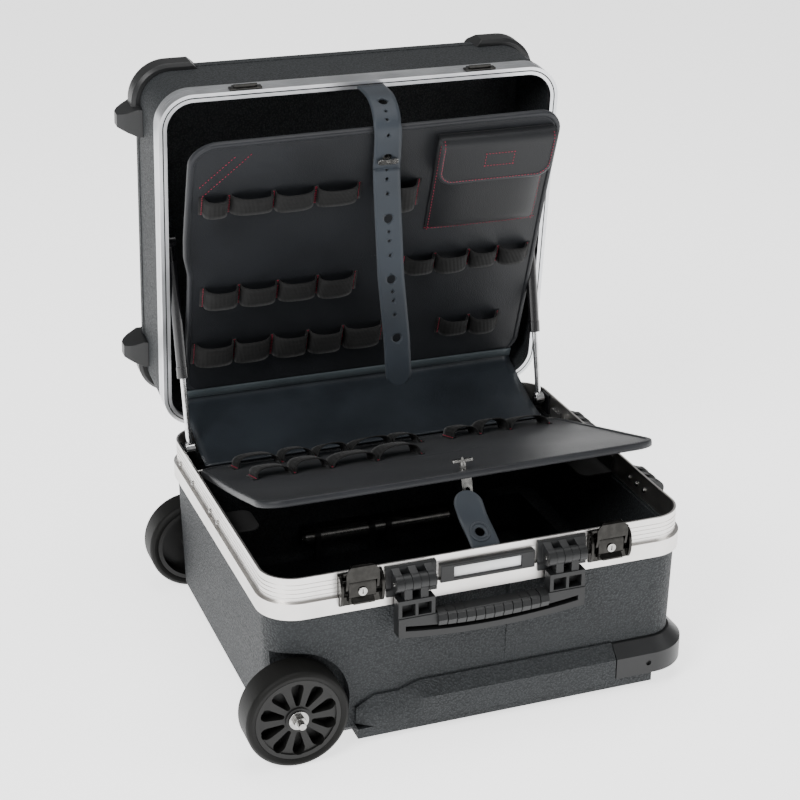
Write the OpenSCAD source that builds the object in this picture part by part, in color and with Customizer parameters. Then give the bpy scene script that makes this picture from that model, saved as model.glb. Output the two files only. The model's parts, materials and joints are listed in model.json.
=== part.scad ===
// Wheeled hard tool case, shown open: moulded lower shell and lid in aluminium
// frames, two gas struts, a padded tool pallet in each half, two key latches,
// two swing-out handles, two wheels and a pull-out trolley handle.
// Origin: centre of the lower shell's flat underside. X is the width, -Y the
// front with the latches, +Z up. The case stands on its wheels and two feet.

/* [Case] */
// Width over the lower rim
rim_w = 490; // [450:1:540]
// Depth over the lower rim
rim_d = 422; // [390:1:460]
// Height from the underside to the lower rim
base_h = 205; // [195:1:240]
// Depth of the lid behind its rim
lid_h = 125; // [115:1:150]
// Corner radius in plan
corner_r = 38; // [34:1:44]
// Wall of both moulded shells
wall = 3.5; // [3:0.1:4.5]
// How far each side draws in towards the outer face
draft = 4; // [2:0.5:6]
// Bevel round the outer face of both shells
edge_bevel = 10; // [6:1:14]
// How far wheels and feet stand below the underside
foot_h = 8; // [5:1:12]

/* [Frames] */
// Height of the upper aluminium band of the lower frame
upper_band = 28; // [24:1:34]
// Height of the flared lower band
lower_band = 19; // [15:1:24]
// How far the lower band stands out
band_step = 4; // [3:0.5:5]
// Wall of the aluminium bands
frame_t = 2.5; // [2:0.1:3]
// Height of the lid's outer band
lid_band = 25; // [20:1:30]
// How far the lid's band stands out over the lower rim
lid_over = 3.5; // [2:0.5:4]
// Width of the bead round the lid's mouth
bead_w = 7.5; // [6:0.5:9]
// Height of that bead
bead_h = 8; // [6:0.5:10]
// Gap between the two rims when the lid is shut
lid_gap = 0.6; // [0.4:0.1:1]

/* [Lid hinge and struts] */
// How far the lid stands open
lid_angle = 83.4; // [75:0.1:90]
// Hinge axis behind the lower rim
hinge_out = 5.5; // [5.2:0.1:7]
// Hinge axis below the lower rim
hinge_drop = 4; // [2:0.5:6]
// Length of each hinge
hinge_len = 64; // [50:1:90]
// Diameter of the strut cylinders
strut_d = 14; // [12:0.5:14]
// Diameter of the strut rods
rod_d = 7; // [6:0.5:8]
// Length of the strut cylinders
strut_len = 142; // [130:1:155]
// Height of the lid stud over the lid's mouth, lid shut
stud_rise = 25; // [20:1:35]
// Distance from the front of the rim back to the lid stud, lid shut
stud_back = 186; // [170:1:200]

/* [Tool pallets] */
// Gap between the lower pallet and the rim on each side
base_pallet_gap = 10; // [9:1:20]
// Depth of the lower pallet
base_pallet_d = 300; // [280:1:325]
// How far the lower pallet is raised from its seats
base_tilt = 16.3; // [12:0.1:20]
// Gap between the lid pallet and the rim on each side
lid_pallet_gap = 21; // [21:1:30]
// Height of the lid pallet
lid_pallet_h = 389; // [340:1:392]
// How far the lid pallet leans out of the lid
lid_lean = 14; // [10:0.1:16]
// Thickness of both pallet boards
board_t = 6; // [4:0.5:8]
// Corner radius of both boards
board_r = 30; // [20:1:40]
// Diameter of the pallets' hinge rods
pallet_rod_d = 6; // [5:0.5:7]

/* [Wheels] */
// Diameter over the tyre
wheel_d = 115; // [100:1:120]
// Width of the tyre
wheel_w = 40; // [30:1:44]
// How far the wheels stand out of the front and rear
wheel_out = 25; // [20:1:30]
// Wheel centre in from the left side of the rim
wheel_in = 23; // [20:1:34]
// Diameter of the stub axles
axle_d = 8; // [8:0.5:12]

/* [Trolley handle] */
// Diameter of the fixed tubes
tube_d = 22; // [20:0.5:24]
// Wall of every tube
tube_t = 1.2; // [1:0.1:1.5]
// Length of the fixed tubes
tube_len = 236; // [220:1:236]
// Length of the grip along the front and rear
grip_reach = 88; // [80:1:100]
// How far ledge and grip stand out of the lower shell
ledge_out = 14; // [10:0.5:16]

/* [Handles, latches and label] */
// Distance between the middles of a handle's two brackets
bracket_gap = 176; // [160:1:190]
// Pitch of the bracket knuckles
knuckle = 9.2; // [8:0.1:10]
// Distance from the middle of the front to each latch
latch_x = 145; // [138:1:160]
// Width of each latch
latch_w = 50; // [44:1:54]
// Width of the label frame
label_w = 110; // [90:1:112]

/* [Hidden] */

$fn = 48;
hull_fn = 32;
// Running clearance on the radius of every pin, tube and barrel
fit = 0.08;
// Gap between pieces that pass each other without touching
play = 0.5;
// Gap round leatherette that meets a moving piece
soft_gap = 0.35;
// Thickness of a slab that only marks one level of a hull
sliver = 0.02;

shell_grey = "#3a3c3e";
trim_black = "#1e1f21";
satin_metal = "#c6c9cc";
dark_chrome = "#4a4a4c";
bright_metal = "#d8dadc";
rubber_black = "#161617";
leatherette = "#202124";

// ---- main places ----
side_x = rim_w / 2;
rear_y = rim_d / 2;
rim_z = base_h;
shelf_z = rim_z - upper_band;
band_low_z = shelf_z - lower_band;
shell_top_z = shelf_z - frame_t;
floor_t = 4;
mouth_z = base_h + lid_gap;
hinge_y = rear_y + hinge_out;
hinge_z = rim_z - hinge_drop;

// ---- ledges, grip and wheels of the lower shell ----
ledge_top = 55;
ledge_slope = 15;
ledge_low = 12;
plinth_out = 7;
skirt_top = 47;
skirt_out = 9;
skirt_left_x = -150;
ledge_left_x = -100;
ledge_right_x = side_x - grip_reach;
notch_low = 14;
notch_top = 54;
notch_deep = 26;
tube_in = 13;
tube_z = 34;
tube_start_x = ledge_right_x - tube_len;
wheel_x = wheel_in - side_x;
wheel_z = wheel_d / 2 - foot_h;
arch_r = wheel_d / 2 + 8.5;
arch_deep = 22;
axle_boss_r = 12;
axle_boss_len = 30;
axle_reach = 13;
middle_d = tube_d - 2 * tube_t - 2 * fit;
inner_d = middle_d - 2 * tube_t - 2 * fit;

// ---- struts, worked out from the open and the shut lid ----
function turned(p, a) = [p[0] * cos(a) - p[1] * sin(a), p[0] * sin(a) + p[1] * cos(a)];
hinge_at = [hinge_y, hinge_z];
stud_shut = [stud_back - rear_y, mouth_z + stud_rise];
stud_open = hinge_at + turned(stud_shut - hinge_at, -lid_angle);
strut_foot = [rear_y - 45, rim_z - 8];
strut_reach = norm(stud_open - strut_foot);
strut_lean = atan2(stud_open[0] - strut_foot[0], stud_open[1] - strut_foot[1]);
strut_x = side_x - 13.5;
strut_eye_r = 8;
strut_eye_w = 11;
stud_r = 4;

// ---- pallets ----
base_pallet_w = rim_w - 2 * base_pallet_gap;
lid_pallet_w = rim_w - 2 * lid_pallet_gap;
base_rod = [rear_y - 82, rim_z - 23];
lid_rod_shut = [rear_y - 21, mouth_z + 25];
lid_rod_open = hinge_at + turned(lid_rod_shut - hinge_at, -lid_angle);
lid_pallet_lean = 90 - lid_angle + lid_lean;
rod_r = pallet_rod_d / 2;
sleeve_r = rod_r + 2;
half_board = board_t / 2;
loop_t = 1.5;
loop_rise = 15;

// ---- general shapes ----
module rounded(w, d, r) {
    square([w - 2 * r, d], center = true);
    square([w, d - 2 * r], center = true);
    for (x = [-1, 1], y = [-1, 1])
        translate([x * (w / 2 - r), y * (d / 2 - r)]) circle(r);
}

module rim_outline(grow) rounded(rim_w + 2 * grow, rim_d + 2 * grow, corner_r + grow);

module rim_plate(grow, z0, z1)
    translate([0, 0, z0]) linear_extrude(z1 - z0) rim_outline(grow);

module rim_ring(outer, inner, z0, z1) difference() {
    rim_plate(outer, z0, z1);
    rim_plate(inner, z0 - 1, z1 + 1);
}

module rim_level(grow, z) rim_plate(grow, z, z + sliver, $fn = hull_fn);

// A bar along X with a section of [outward, up] points, outward being -Y
module bar(len, section)
    rotate([90, 0, 90]) linear_extrude(len, center = true)
        polygon([for (p = section) [-p[0], p[1]]]);

// A round bar along X, centred at [outward, up]
module pin_x(r, len, at)
    translate([0, -at[0], at[1]]) rotate([0, 90, 0]) cylinder(h = len, r = r, center = true);

module both_sides() {
    children();
    mirror([1, 0, 0]) children();
}

module front_and_rear() {
    children();
    mirror([0, 1, 0]) children();
}

// A section of [outward, up] points carried round one rim corner and along its two sides
module corner_sweep(section, arm) {
    centre = [side_x - corner_r, rear_y - corner_r, 0];
    translate(centre) rotate_extrude(angle = 90) translate([corner_r, 0]) polygon(section);
    translate([side_x, rear_y - corner_r, 0]) rotate([90, 0, 0])
        linear_extrude(arm) polygon(section);
    translate([side_x - corner_r - arm, rear_y, 0]) rotate([90, 0, 90])
        linear_extrude(arm) polygon(section);
}

module on_front(x = 0) translate([x, -rear_y, rim_z]) children();

module on_right() translate([side_x, 0, rim_z]) rotate([0, 0, 90]) children();

// Children are drawn as on the shut lid, with z counted from its mouth
module on_lid()
    translate([0, hinge_y, hinge_z]) rotate([-lid_angle, 0, 0])
        translate([0, -hinge_y, mouth_z - hinge_z]) children();

// Children are drawn with y up the board from its hinge rod and z out of its face
module on_lid_pallet()
    translate([0, lid_rod_open[0], lid_rod_open[1]])
        rotate([90 + lid_pallet_lean, 0, 0]) children();

// Children are drawn with y from the hinge rod to the front and z up
module on_base_pallet()
    translate([0, base_rod[0], base_rod[1]]) rotate([-base_tilt, 0, 0])
        mirror([0, 1, 0]) children();

// ---- lower shell ----
module base_outer() hull() {
    rim_level(0, shell_top_z - sliver);
    rim_level(-draft, edge_bevel);
    rim_level(-draft - edge_bevel, 0);
}

module base_cavity() hull() {
    rim_level(-wall, shell_top_z + 1);
    rim_level(-wall - draft, edge_bevel + 0.4 * wall);
    rim_level(-draft - edge_bevel + floor_t - 1.4 * wall, floor_t);
}

module wheel_arch(grow) front_and_rear()
    translate([wheel_x, -rear_y + arch_deep + grow, wheel_z]) rotate([90, 0, 0])
        cylinder(h = arch_deep + 60, r = arch_r + grow);

module axle_boss() front_and_rear()
    translate([wheel_x, -rear_y + arch_deep + axle_boss_len, wheel_z]) rotate([90, 0, 0])
        cylinder(h = axle_boss_len, r = axle_boss_r);

module grip_notch(grow) difference() {
    translate([ledge_right_x - grow, -rim_d, notch_low - grow])
        cube([rim_w, 2 * rim_d, notch_top - notch_low + 2 * grow]);
    translate([-rim_w, -rear_y + notch_deep + grow, -1])
        cube([rim_w + side_x - notch_deep - grow, rim_d - 2 * notch_deep - 2 * grow, base_h]);
}

finger_w = 120;

module finger_cut() translate([side_x - notch_deep, -finger_w / 2, -1])
    cube([notch_deep + 5, finger_w, notch_low + 2]);

module low_section(x0, x1, section)
    translate([(x0 + x1) / 2, -rear_y, 0]) bar(x1 - x0, section);

module ledges() front_and_rear() {
    skirt = [[-5, skirt_top], [0, skirt_top], [skirt_out, skirt_top - 20], [skirt_out, ledge_low]];
    ledge = [[-5, ledge_top], [0, ledge_top], [ledge_out, ledge_top - ledge_slope],
        [ledge_out, ledge_low]];
    // the plinth runs under both, and the ledge rises out of the skirt in a slant
    low_section(skirt_left_x, ledge_right_x, [[-5, ledge_low], [plinth_out, ledge_low],
        [plinth_out, 0], [-draft - edge_bevel - 1, 0]]);
    low_section(skirt_left_x + 22, ledge_left_x, concat(skirt, [[-5, ledge_low]]));
    hull() {
        low_section(skirt_left_x + 21, skirt_left_x + 22, concat(skirt, [[-5, ledge_low]]));
        low_section(skirt_left_x, skirt_left_x + 1, [[-5, skirt_top - 12], [0, skirt_top - 12],
            [1, skirt_top - 16], [1, ledge_low + 4], [-5, ledge_low + 4]]);
    }
    hull() {
        low_section(ledge_left_x - 1, ledge_left_x, concat(skirt, [[-5, ledge_low]]));
        low_section(ledge_left_x + 24, ledge_left_x + 25, concat(ledge, [[-5, ledge_low]]));
    }
    low_section(ledge_left_x + 25, ledge_right_x, concat(ledge, [[-5, ledge_low]]));
    low_section(ledge_right_x, side_x - corner_r, [
        [-5, notch_low], [plinth_out, notch_low], [plinth_out, 0],
        [-draft - edge_bevel - 1, 0], [-5, 12]]);
}

module tube_channels() front_and_rear()
    low_section(tube_start_x - 5, ledge_right_x - wall, [
        [-notch_deep, tube_z - 15], [ledge_out - 5, tube_z - 15], [ledge_out - 5, tube_z + 6],
        [1, tube_z + 15], [-notch_deep, tube_z + 15]]);

recess_top_w = 58;
recess_low_w = 52;
recess_deep = 3;
recess_low_z = ledge_top;

module front_recess(grow, deep) on_front() rotate([90, 0, 0])
    translate([0, 0, -deep]) linear_extrude(deep + 20) polygon([
        [-recess_top_w / 2 - grow, band_low_z - rim_z + grow],
        [recess_top_w / 2 + grow, band_low_z - rim_z + grow],
        [recess_low_w / 2 + grow, recess_low_z - rim_z - grow],
        [-recess_low_w / 2 - grow, recess_low_z - rim_z - grow]]);

module tube_bores(r) front_and_rear()
    translate([ledge_right_x - wall - 1, -rear_y + tube_in, tube_z]) rotate([0, 90, 0])
        cylinder(h = wall + 2, r = r);

module axle_bores() front_and_rear()
    translate([wheel_x, -rear_y + arch_deep + axle_boss_len - 2, wheel_z]) rotate([90, 0, 0])
        cylinder(h = axle_boss_len + 10, r = axle_d / 2);

// The groove round the flat panel of the underside
panel_w = 300;
panel_d = 290;
panel_groove = 3;

module underside_groove() translate([0, 0, -1]) linear_extrude(2.2) difference() {
    rounded(panel_w + 2 * panel_groove, panel_d + 2 * panel_groove, 20 + panel_groove);
    rounded(panel_w, panel_d, 20);
}

module base_shell() color(shell_grey) difference() {
    union() {
        base_outer();
        ledges();
    }
    underside_groove();
    difference() {
        base_cavity();
        rim_ring(5, -6, band_low_z, shell_top_z - 2.5);
        wheel_arch(wall);
        axle_boss();
        grip_notch(wall);
        front_recess(wall, recess_deep + wall + 3);
    }
    tube_channels();
    wheel_arch(0);
    grip_notch(0);
    finger_cut();
    front_recess(0, recess_deep);
    tube_bores(tube_d / 2);
    axle_bores();
}

// ---- lower frame ----
groove_h = 0.8;
groove_deep = 0.5;
groove_pitch = 5;

module base_frame() color(satin_metal) {
    difference() {
        union() {
            rim_ring(0, -frame_t, shelf_z, rim_z);
            rim_ring(band_step, -frame_t, shelf_z - frame_t, shelf_z);
            rim_ring(band_step, 0.2, band_low_z, shelf_z - frame_t);
        }
        for (i = [1:4])
            rim_ring(5, -groove_deep, rim_z - 3 - i * groove_pitch,
                rim_z - 3 - i * groove_pitch + groove_h);
    }
}

rivet_r = 3.2;
rivet_h = 1.4;

module rivet() {
    cylinder(h = rivet_h, r = rivet_r);
    translate([0, 0, rivet_h]) cylinder(h = 0.8, r = rivet_r * 0.6);
}

module frame_rivets() color(bright_metal) {
    // heads on the outside of the left side, at the strut foot, seats and rod
    for (y = [rear_y - 53, rear_y - 111, rear_y - 190, rear_y - 222])
        translate([-side_x, y, rim_z - 23]) rotate([0, -90, 0]) rivet();
    // heads inside the right wall, behind the side handle
    for (y = [-111, -92, -74])
        translate([side_x - frame_t, y, rim_z - 17]) rotate([0, -90, 0]) rivet();
}

// ---- feet, wheels and axles ----
module rubber_feet() color(rubber_black)
    for (y = [-1, 1]) translate([side_x - 45, y * (rear_y - 61), -foot_h])
        cylinder(h = foot_h, r1 = 10, r2 = 12);

// Children are drawn with z outwards along the front wheel's axle, from the arch's wall
module at_front_wheel()
    translate([wheel_x, -rear_y + arch_deep, wheel_z]) rotate([90, 0, 0]) children();

module at_rear_wheel() mirror([0, 1, 0]) at_front_wheel() children();

wheel_outer = arch_deep + wheel_out;
wheel_inner = wheel_outer - wheel_w;
tyre_t = 10;
hub_r = 14;
hub_outer = wheel_outer - 2;
spoke_t = 16;
spoke_in = 4;
web_t = 2.5;
window_count = 10;
washer_t = 1.6;
nut_t = 6.5;
nut_across = 13;

// A window that widens from its inner circle to its outer one
function arc_points(at, r, from, to, n = 9) =
    [for (i = [0:n]) [at + r * cos(from + (to - from) * i / n), r * sin(from + (to - from) * i / n)]];

module teardrop(r1, r2, at1, at2, h) {
    lean = asin((r2 - r1) / (at2 - at1));
    linear_extrude(h) polygon(concat(
        arc_points(at2, r2, -90 - lean, 90 + lean), arc_points(at1, r1, 90 + lean, 270 - lean)));
}

module wheel_rim() {
    tread_r = wheel_d / 2 - tyre_t;
    difference() {
        union() {
            difference() {
                translate([0, 0, wheel_inner + 2]) cylinder(h = wheel_w - 4, r = tread_r);
                translate([0, 0, wheel_inner]) cylinder(h = wheel_w + 2, r = tread_r - 5);
            }
            translate([0, 0, wheel_outer - spoke_in - spoke_t])
                cylinder(h = spoke_t, r = tread_r - 4);
            translate([0, 0, play]) cylinder(h = hub_outer - play, r = hub_r);
        }
        // blind windows, closed at the back by a thin web
        for (i = [0:window_count - 1]) rotate([0, 0, (i + 0.5) * 360 / window_count])
            translate([0, 0, wheel_outer - spoke_in - spoke_t + web_t])
                teardrop(2.6, 7, hub_r + 4.5, tread_r - 11, wheel_w);
        cylinder(h = wheel_outer + 2, r = axle_d / 2 + fit);
    }
}

module wheel_tyre() rotate_extrude() translate([0, wheel_inner]) polygon([
    [wheel_d / 2 - tyre_t, 2], [wheel_d / 2 - 5, 0], [wheel_d / 2 - 2, 1.5],
    [wheel_d / 2, 5], [wheel_d / 2, wheel_w - 5], [wheel_d / 2 - 2, wheel_w - 1.5],
    [wheel_d / 2 - 5, wheel_w], [wheel_d / 2 - tyre_t, wheel_w - 2]]);

module front_wheel() color(shell_grey) at_front_wheel() wheel_rim();
module rear_wheel() color(shell_grey) at_rear_wheel() wheel_rim();
module front_tyre() color(rubber_black) at_front_wheel() wheel_tyre();
module rear_tyre() color(rubber_black) at_rear_wheel() wheel_tyre();

module stub_axle()
    translate([0, 0, 2 - axle_boss_len])
        cylinder(h = axle_boss_len - 2 + wheel_outer + axle_reach, r = axle_d / 2);

module stub_axles() color(bright_metal) {
    at_front_wheel() stub_axle();
    at_rear_wheel() stub_axle();
}

module axle_fasteners() difference() {
    translate([0, 0, hub_outer + 0.3]) {
        cylinder(h = washer_t, r = 11);
        translate([0, 0, washer_t]) cylinder(h = nut_t, r = nut_across / sqrt(3), $fn = 6);
    }
    cylinder(h = wheel_outer + axle_reach, r = axle_d / 2);
}

module axle_nuts() color(bright_metal) {
    at_front_wheel() axle_fasteners();
    at_rear_wheel() axle_fasteners();
}

// ---- pull-out handle ----
module tube_pair(x0, x1, outer_d, t) front_and_rear()
    translate([x0, -rear_y + tube_in, tube_z]) rotate([0, 90, 0]) difference() {
        cylinder(h = x1 - x0, r = outer_d / 2);
        translate([0, 0, -1]) cylinder(h = x1 - x0 + 2, r = outer_d / 2 - t);
    }

module trolley_fixed_tubes() color(bright_metal)
    tube_pair(tube_start_x, ledge_right_x, tube_d, tube_t);

module trolley_middle_tubes() color(bright_metal)
    tube_pair(tube_start_x + 2, ledge_right_x - 2, middle_d, tube_t);

module trolley_inner_tubes() color(bright_metal)
    tube_pair(tube_start_x + 4, ledge_right_x + 58, inner_d, tube_t);

clamp_w = 8;
clamp_r = tube_d / 2 + 2.5;

module trolley_clamps() color(trim_black) front_and_rear()
    for (x = [tube_start_x + 12, ledge_right_x - 150, ledge_right_x - 127, ledge_right_x - 37])
        difference() {
            union() {
                translate([x, -rear_y + tube_in, tube_z]) rotate([0, 90, 0])
                    cylinder(h = clamp_w, r = clamp_r);
                translate([x, -rear_y + 16, floor_t]) cube([clamp_w, 9, tube_z - floor_t]);
            }
            translate([x - 1, -rear_y + tube_in, tube_z]) rotate([0, 90, 0])
                cylinder(h = clamp_w + 2, r = tube_d / 2);
        }

grip_t = 3;
grip_low = notch_low + 1;
grip_top = notch_top - 1;
grip_block_in = notch_deep - 1;
grip_block_len = 64;

// Gap between the ledge's end and the pushed-in grip
grip_gap = 1.4;

module trolley_grip() color(trim_black) difference() {
    section = [[-grip_t, grip_top], [0, grip_top], [ledge_out, ledge_top - ledge_slope],
        [ledge_out, grip_low], [-grip_t, grip_low]];
    union() {
        front_and_rear() {
            corner_sweep(section, rear_y - corner_r);
            translate([ledge_right_x + grip_gap, rear_y - grip_block_in, grip_low])
                cube([grip_block_len, grip_block_in - grip_t + 1, grip_top - grip_low]);
        }
    }
    translate([-rim_w, -rim_d, 0]) cube([rim_w + ledge_right_x + grip_gap, 2 * rim_d, base_h]);
    front_and_rear() translate([ledge_right_x - 1, -rear_y + tube_in, tube_z])
        rotate([0, 90, 0]) cylinder(h = 59, r = inner_d / 2);
    // screw holes in the front and rear faces
    front_and_rear() translate([side_x - 46, -rear_y - ledge_out + 3, tube_z - 6])
        rotate([90, 0, 0]) cylinder(h = 10, r = 3.2);
    // recess for the release button
    translate([side_x + ledge_out - 9, -13, tube_z - 7]) cube([10, 26, 14]);
}

button_travel = 4;

module trolley_button() color(dark_chrome)
    translate([side_x + ledge_out - 9 + button_travel + play, -12.5, tube_z - 6.5])
        cube([9 - button_travel, 25, 13]);

// ---- hinges ----
leaf_t = 2;
hinge_pin_r = 2;
knuckle_r = 4.5;
hinge_knuckles = 5;

// Knuckles numbered first, first + 2 and so on, with webs of the given section
module hinge_knuckle_set(first, section, r_bore) {
    pitch = hinge_len / hinge_knuckles;
    for (hx = [-1, 1]) translate([hx * (side_x - 95), hinge_y, hinge_z]) difference() {
        for (i = [first:2:hinge_knuckles - 1])
            translate([(i - (hinge_knuckles - 1) / 2) * pitch, 0, 0]) {
                pin_x(knuckle_r, pitch - play, [0, 0]);
                bar(pitch - play, section);
            }
        pin_x(r_bore, hinge_len + 2, [0, 0]);
    }
}

module hinge_leaves_base() color(satin_metal) {
    // outward here counts from the hinge pin towards the front
    back = hinge_out;
    hinge_knuckle_set(0, [[back, 1], [back - leaf_t, 3], [0, 4], [0, -4],
        [back - leaf_t, -6], [back, -6]], hinge_pin_r);
    for (hx = [-1, 1]) translate([hx * (side_x - 95), rear_y + leaf_t / 2, rim_z - 17.5])
        cube([hinge_len, leaf_t, 17], center = true);
}

module hinge_leaves_lid() color(satin_metal) on_lid() {
    // distance from the pin to the face of the lid's band
    face = hinge_out - lid_over;
    translate([0, 0, -mouth_z]) hinge_knuckle_set(1, [[face, 7], [face - leaf_t, 7],
        [-3, 2], [0, -3], [face, 2]], hinge_pin_r + fit);
    for (hx = [-1, 1]) translate([hx * (side_x - 95), hinge_y - face + leaf_t / 2, 10])
        cube([hinge_len, leaf_t, 18], center = true);
}

module hinge_pins() color(bright_metal)
    for (hx = [-1, 1]) translate([hx * (side_x - 95), hinge_y, hinge_z])
        pin_x(hinge_pin_r, hinge_len + 2, [0, 0]);

// ---- latches ----
lever_pivot = [5.5, -10];
hasp_pivot = [7.5, -17];
latch_pin_r = 1.5;
cheek_t = 3;
lever_w = latch_w - 20;
lever_face = 10.5;
barrel_r = 5;
barrel_up = -21;
keeper_up = 6;
hasp_w = lever_w + 7;
hasp_arm_t = 3;

module latch_plate() difference() {
    union() {
        bar(latch_w, [[0, -2], [2, -2], [2, -upper_band + 2], [band_step + 2, -upper_band],
            [band_step + 2, -38], [band_step, -38], [band_step, -upper_band], [0, -upper_band]]);
        both_sides() translate([latch_w / 2 - cheek_t / 2 - play, 0, 0])
            bar(cheek_t, [[1, -3], [5, -3], [8.5, -5.5], [11, -10], [12.5, -17], [12.5, -25],
                [11, -32], [8, -37], [band_step + 1, -37], [band_step + 1, -upper_band - 0.2],
                [1, -upper_band + 1.2]]);
    }
    pin_x(latch_pin_r + fit, latch_w + 2, lever_pivot);
}

module latch_plates() color(dark_chrome) for (s = [-1, 1]) on_front(s * latch_x) latch_plate();

module latch_lever() difference() {
    union() {
        pin_x(3, lever_w, lever_pivot);
        bar(lever_w, [[5.5, -7], [8.5, -8.5], [lever_face, -14], [lever_face, -27],
            [16, -31], [16, -33], [8, -34], [7.5, -27], [4.5, -22], [4, -12]]);
        pin_x(latch_pin_r, latch_w - 1, lever_pivot);
        both_sides() translate([lever_w / 2 + hasp_arm_t / 2, 0, 0])
            pin_x(latch_pin_r, hasp_arm_t + 2, hasp_pivot);
    }
    translate([0, -lever_face + 4.5, barrel_up]) rotate([90, 0, 0])
        cylinder(h = 10, r = barrel_r + fit);
    // the lip is narrower than the lever
    both_sides() translate([12, -20, -40]) cube([10, 20 - lever_face - 0.5, 20]);
}

module lock_barrel() difference() {
    translate([0, -lever_face + 4.4, barrel_up]) rotate([90, 0, 0])
        cylinder(h = 6.2, r = barrel_r);
    translate([-0.6, -lever_face - 3, barrel_up - 2.5]) cube([1.2, 3, 5]);
}

module latch_hasp() difference() {
    union() {
        both_sides() translate([hasp_w / 2 - hasp_arm_t / 2 + 0.2, 0, 0]) {
            pin_x(3.2, hasp_arm_t - 0.2, hasp_pivot);
            bar(hasp_arm_t - 0.2, [[7.6, -15], [10.7, -17], [13, -8], [13, 0], [11.4, 0],
                [11.4, -6], [7.6, -9]]);
        }
        intersection() {
            bar(hasp_w + 0.2, [[11.2, -6.5], [13, -8], [13, keeper_up + 3],
                [11.5, keeper_up + 4.6], [6.4, keeper_up + 4.6], [6.4, keeper_up + 2.8],
                [10.8, keeper_up + 2.8], [11.2, keeper_up + 2.4]]);
            translate([0, 0, 12 - hasp_w / 2]) rotate([90, 0, 0]) {
                translate([0, 0, -1]) cylinder(h = 20, r = hasp_w / 2 + 2);
                translate([-hasp_w / 2 - 1, -30, -1]) cube([hasp_w + 2, 32, 21]);
            }
        }
    }
    pin_x(latch_pin_r + fit, latch_w, hasp_pivot);
}

module latch_lever_left() color(dark_chrome) on_front(-latch_x) latch_lever();
module latch_lever_right() color(dark_chrome) on_front(latch_x) latch_lever();
module latch_hasp_left() color(dark_chrome) on_front(-latch_x) latch_hasp();
module latch_hasp_right() color(dark_chrome) on_front(latch_x) latch_hasp();
module lock_barrel_left() color(bright_metal) on_front(-latch_x) lock_barrel();
module lock_barrel_right() color(bright_metal) on_front(latch_x) lock_barrel();

keeper_w = 38;

module lid_keepers() color(dark_chrome) on_lid()
    for (s = [-1, 1]) translate([s * latch_x, -rear_y - lid_over, 0]) {
        bar(keeper_w - 10, [[0, 2], [2, 2], [2, keeper_up - 1], [5.8, keeper_up - 1],
            [5.8, keeper_up + 1.2], [2, keeper_up + 2], [2, 16], [0, 16]]);
        // two tabs with their screws' bosses
        both_sides() translate([keeper_w / 2 - 3.5, 0, 0])
            bar(7, [[0, 1.5], [2.6, 1.5], [2.6, 10], [1.2, 12], [0, 12]]);
    }

// ---- handles: one on the front, one on the right side ----
handle_axis = [14, -18];
handle_pin_r = 2.5;
bracket_w = 58;
handle_box_w = 42;
handle_half = bracket_gap / 2 + handle_box_w / 2;
handle_low = -79;
handle_bow = 7;
slot_top = -66;
slot_h = 6;
// Outward reach of the skin left behind the groove and hollows
handle_skin = 11;
grip_rings = 12;

module handle_bracket() difference() {
    union() {
        bar(bracket_w, [[0, -3], [3, -3], [4.3, -6], [4.3, -upper_band + 0.5],
            [band_step + 2.2, -upper_band - 1.5], [band_step + 2.2, -37], [band_step, -37],
            [band_step, -upper_band], [0, -upper_band]]);
        for (i = [-2, 0, 2]) translate([i * knuckle, 0, 0]) {
            pin_x(9.5, knuckle - 0.4, handle_axis);
            bar(knuckle - 0.4, [[2, -4], [7, -6], handle_axis + [0, 9.5],
                handle_axis - [0, 9.5], [band_step + 2, -upper_band - 1], [2, -upper_band + 1]]);
        }
    }
    pin_x(handle_pin_r, bracket_w, handle_axis);
}

module at_brackets() for (s = [-1, 1]) translate([s * bracket_gap / 2, 0, 0]) children();

module handle_brackets() color(trim_black) {
    on_front() at_brackets() handle_bracket();
    on_right() at_brackets() handle_bracket();
}

module handle_pin() pin_x(handle_pin_r, 5 * knuckle + 2, handle_axis);

module handle_pins() color(bright_metal) {
    on_front() at_brackets() handle_pin();
    on_right() at_brackets() handle_pin();
}

// The frame's outline seen from the front, with its underside bowed downwards
function bowed(half, up, bow, n = 12) =
    [for (i = [0:n]) [half - 2 * half * i / n, up - bow * (1 - pow(1 - 2 * i / n, 2))]];

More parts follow.
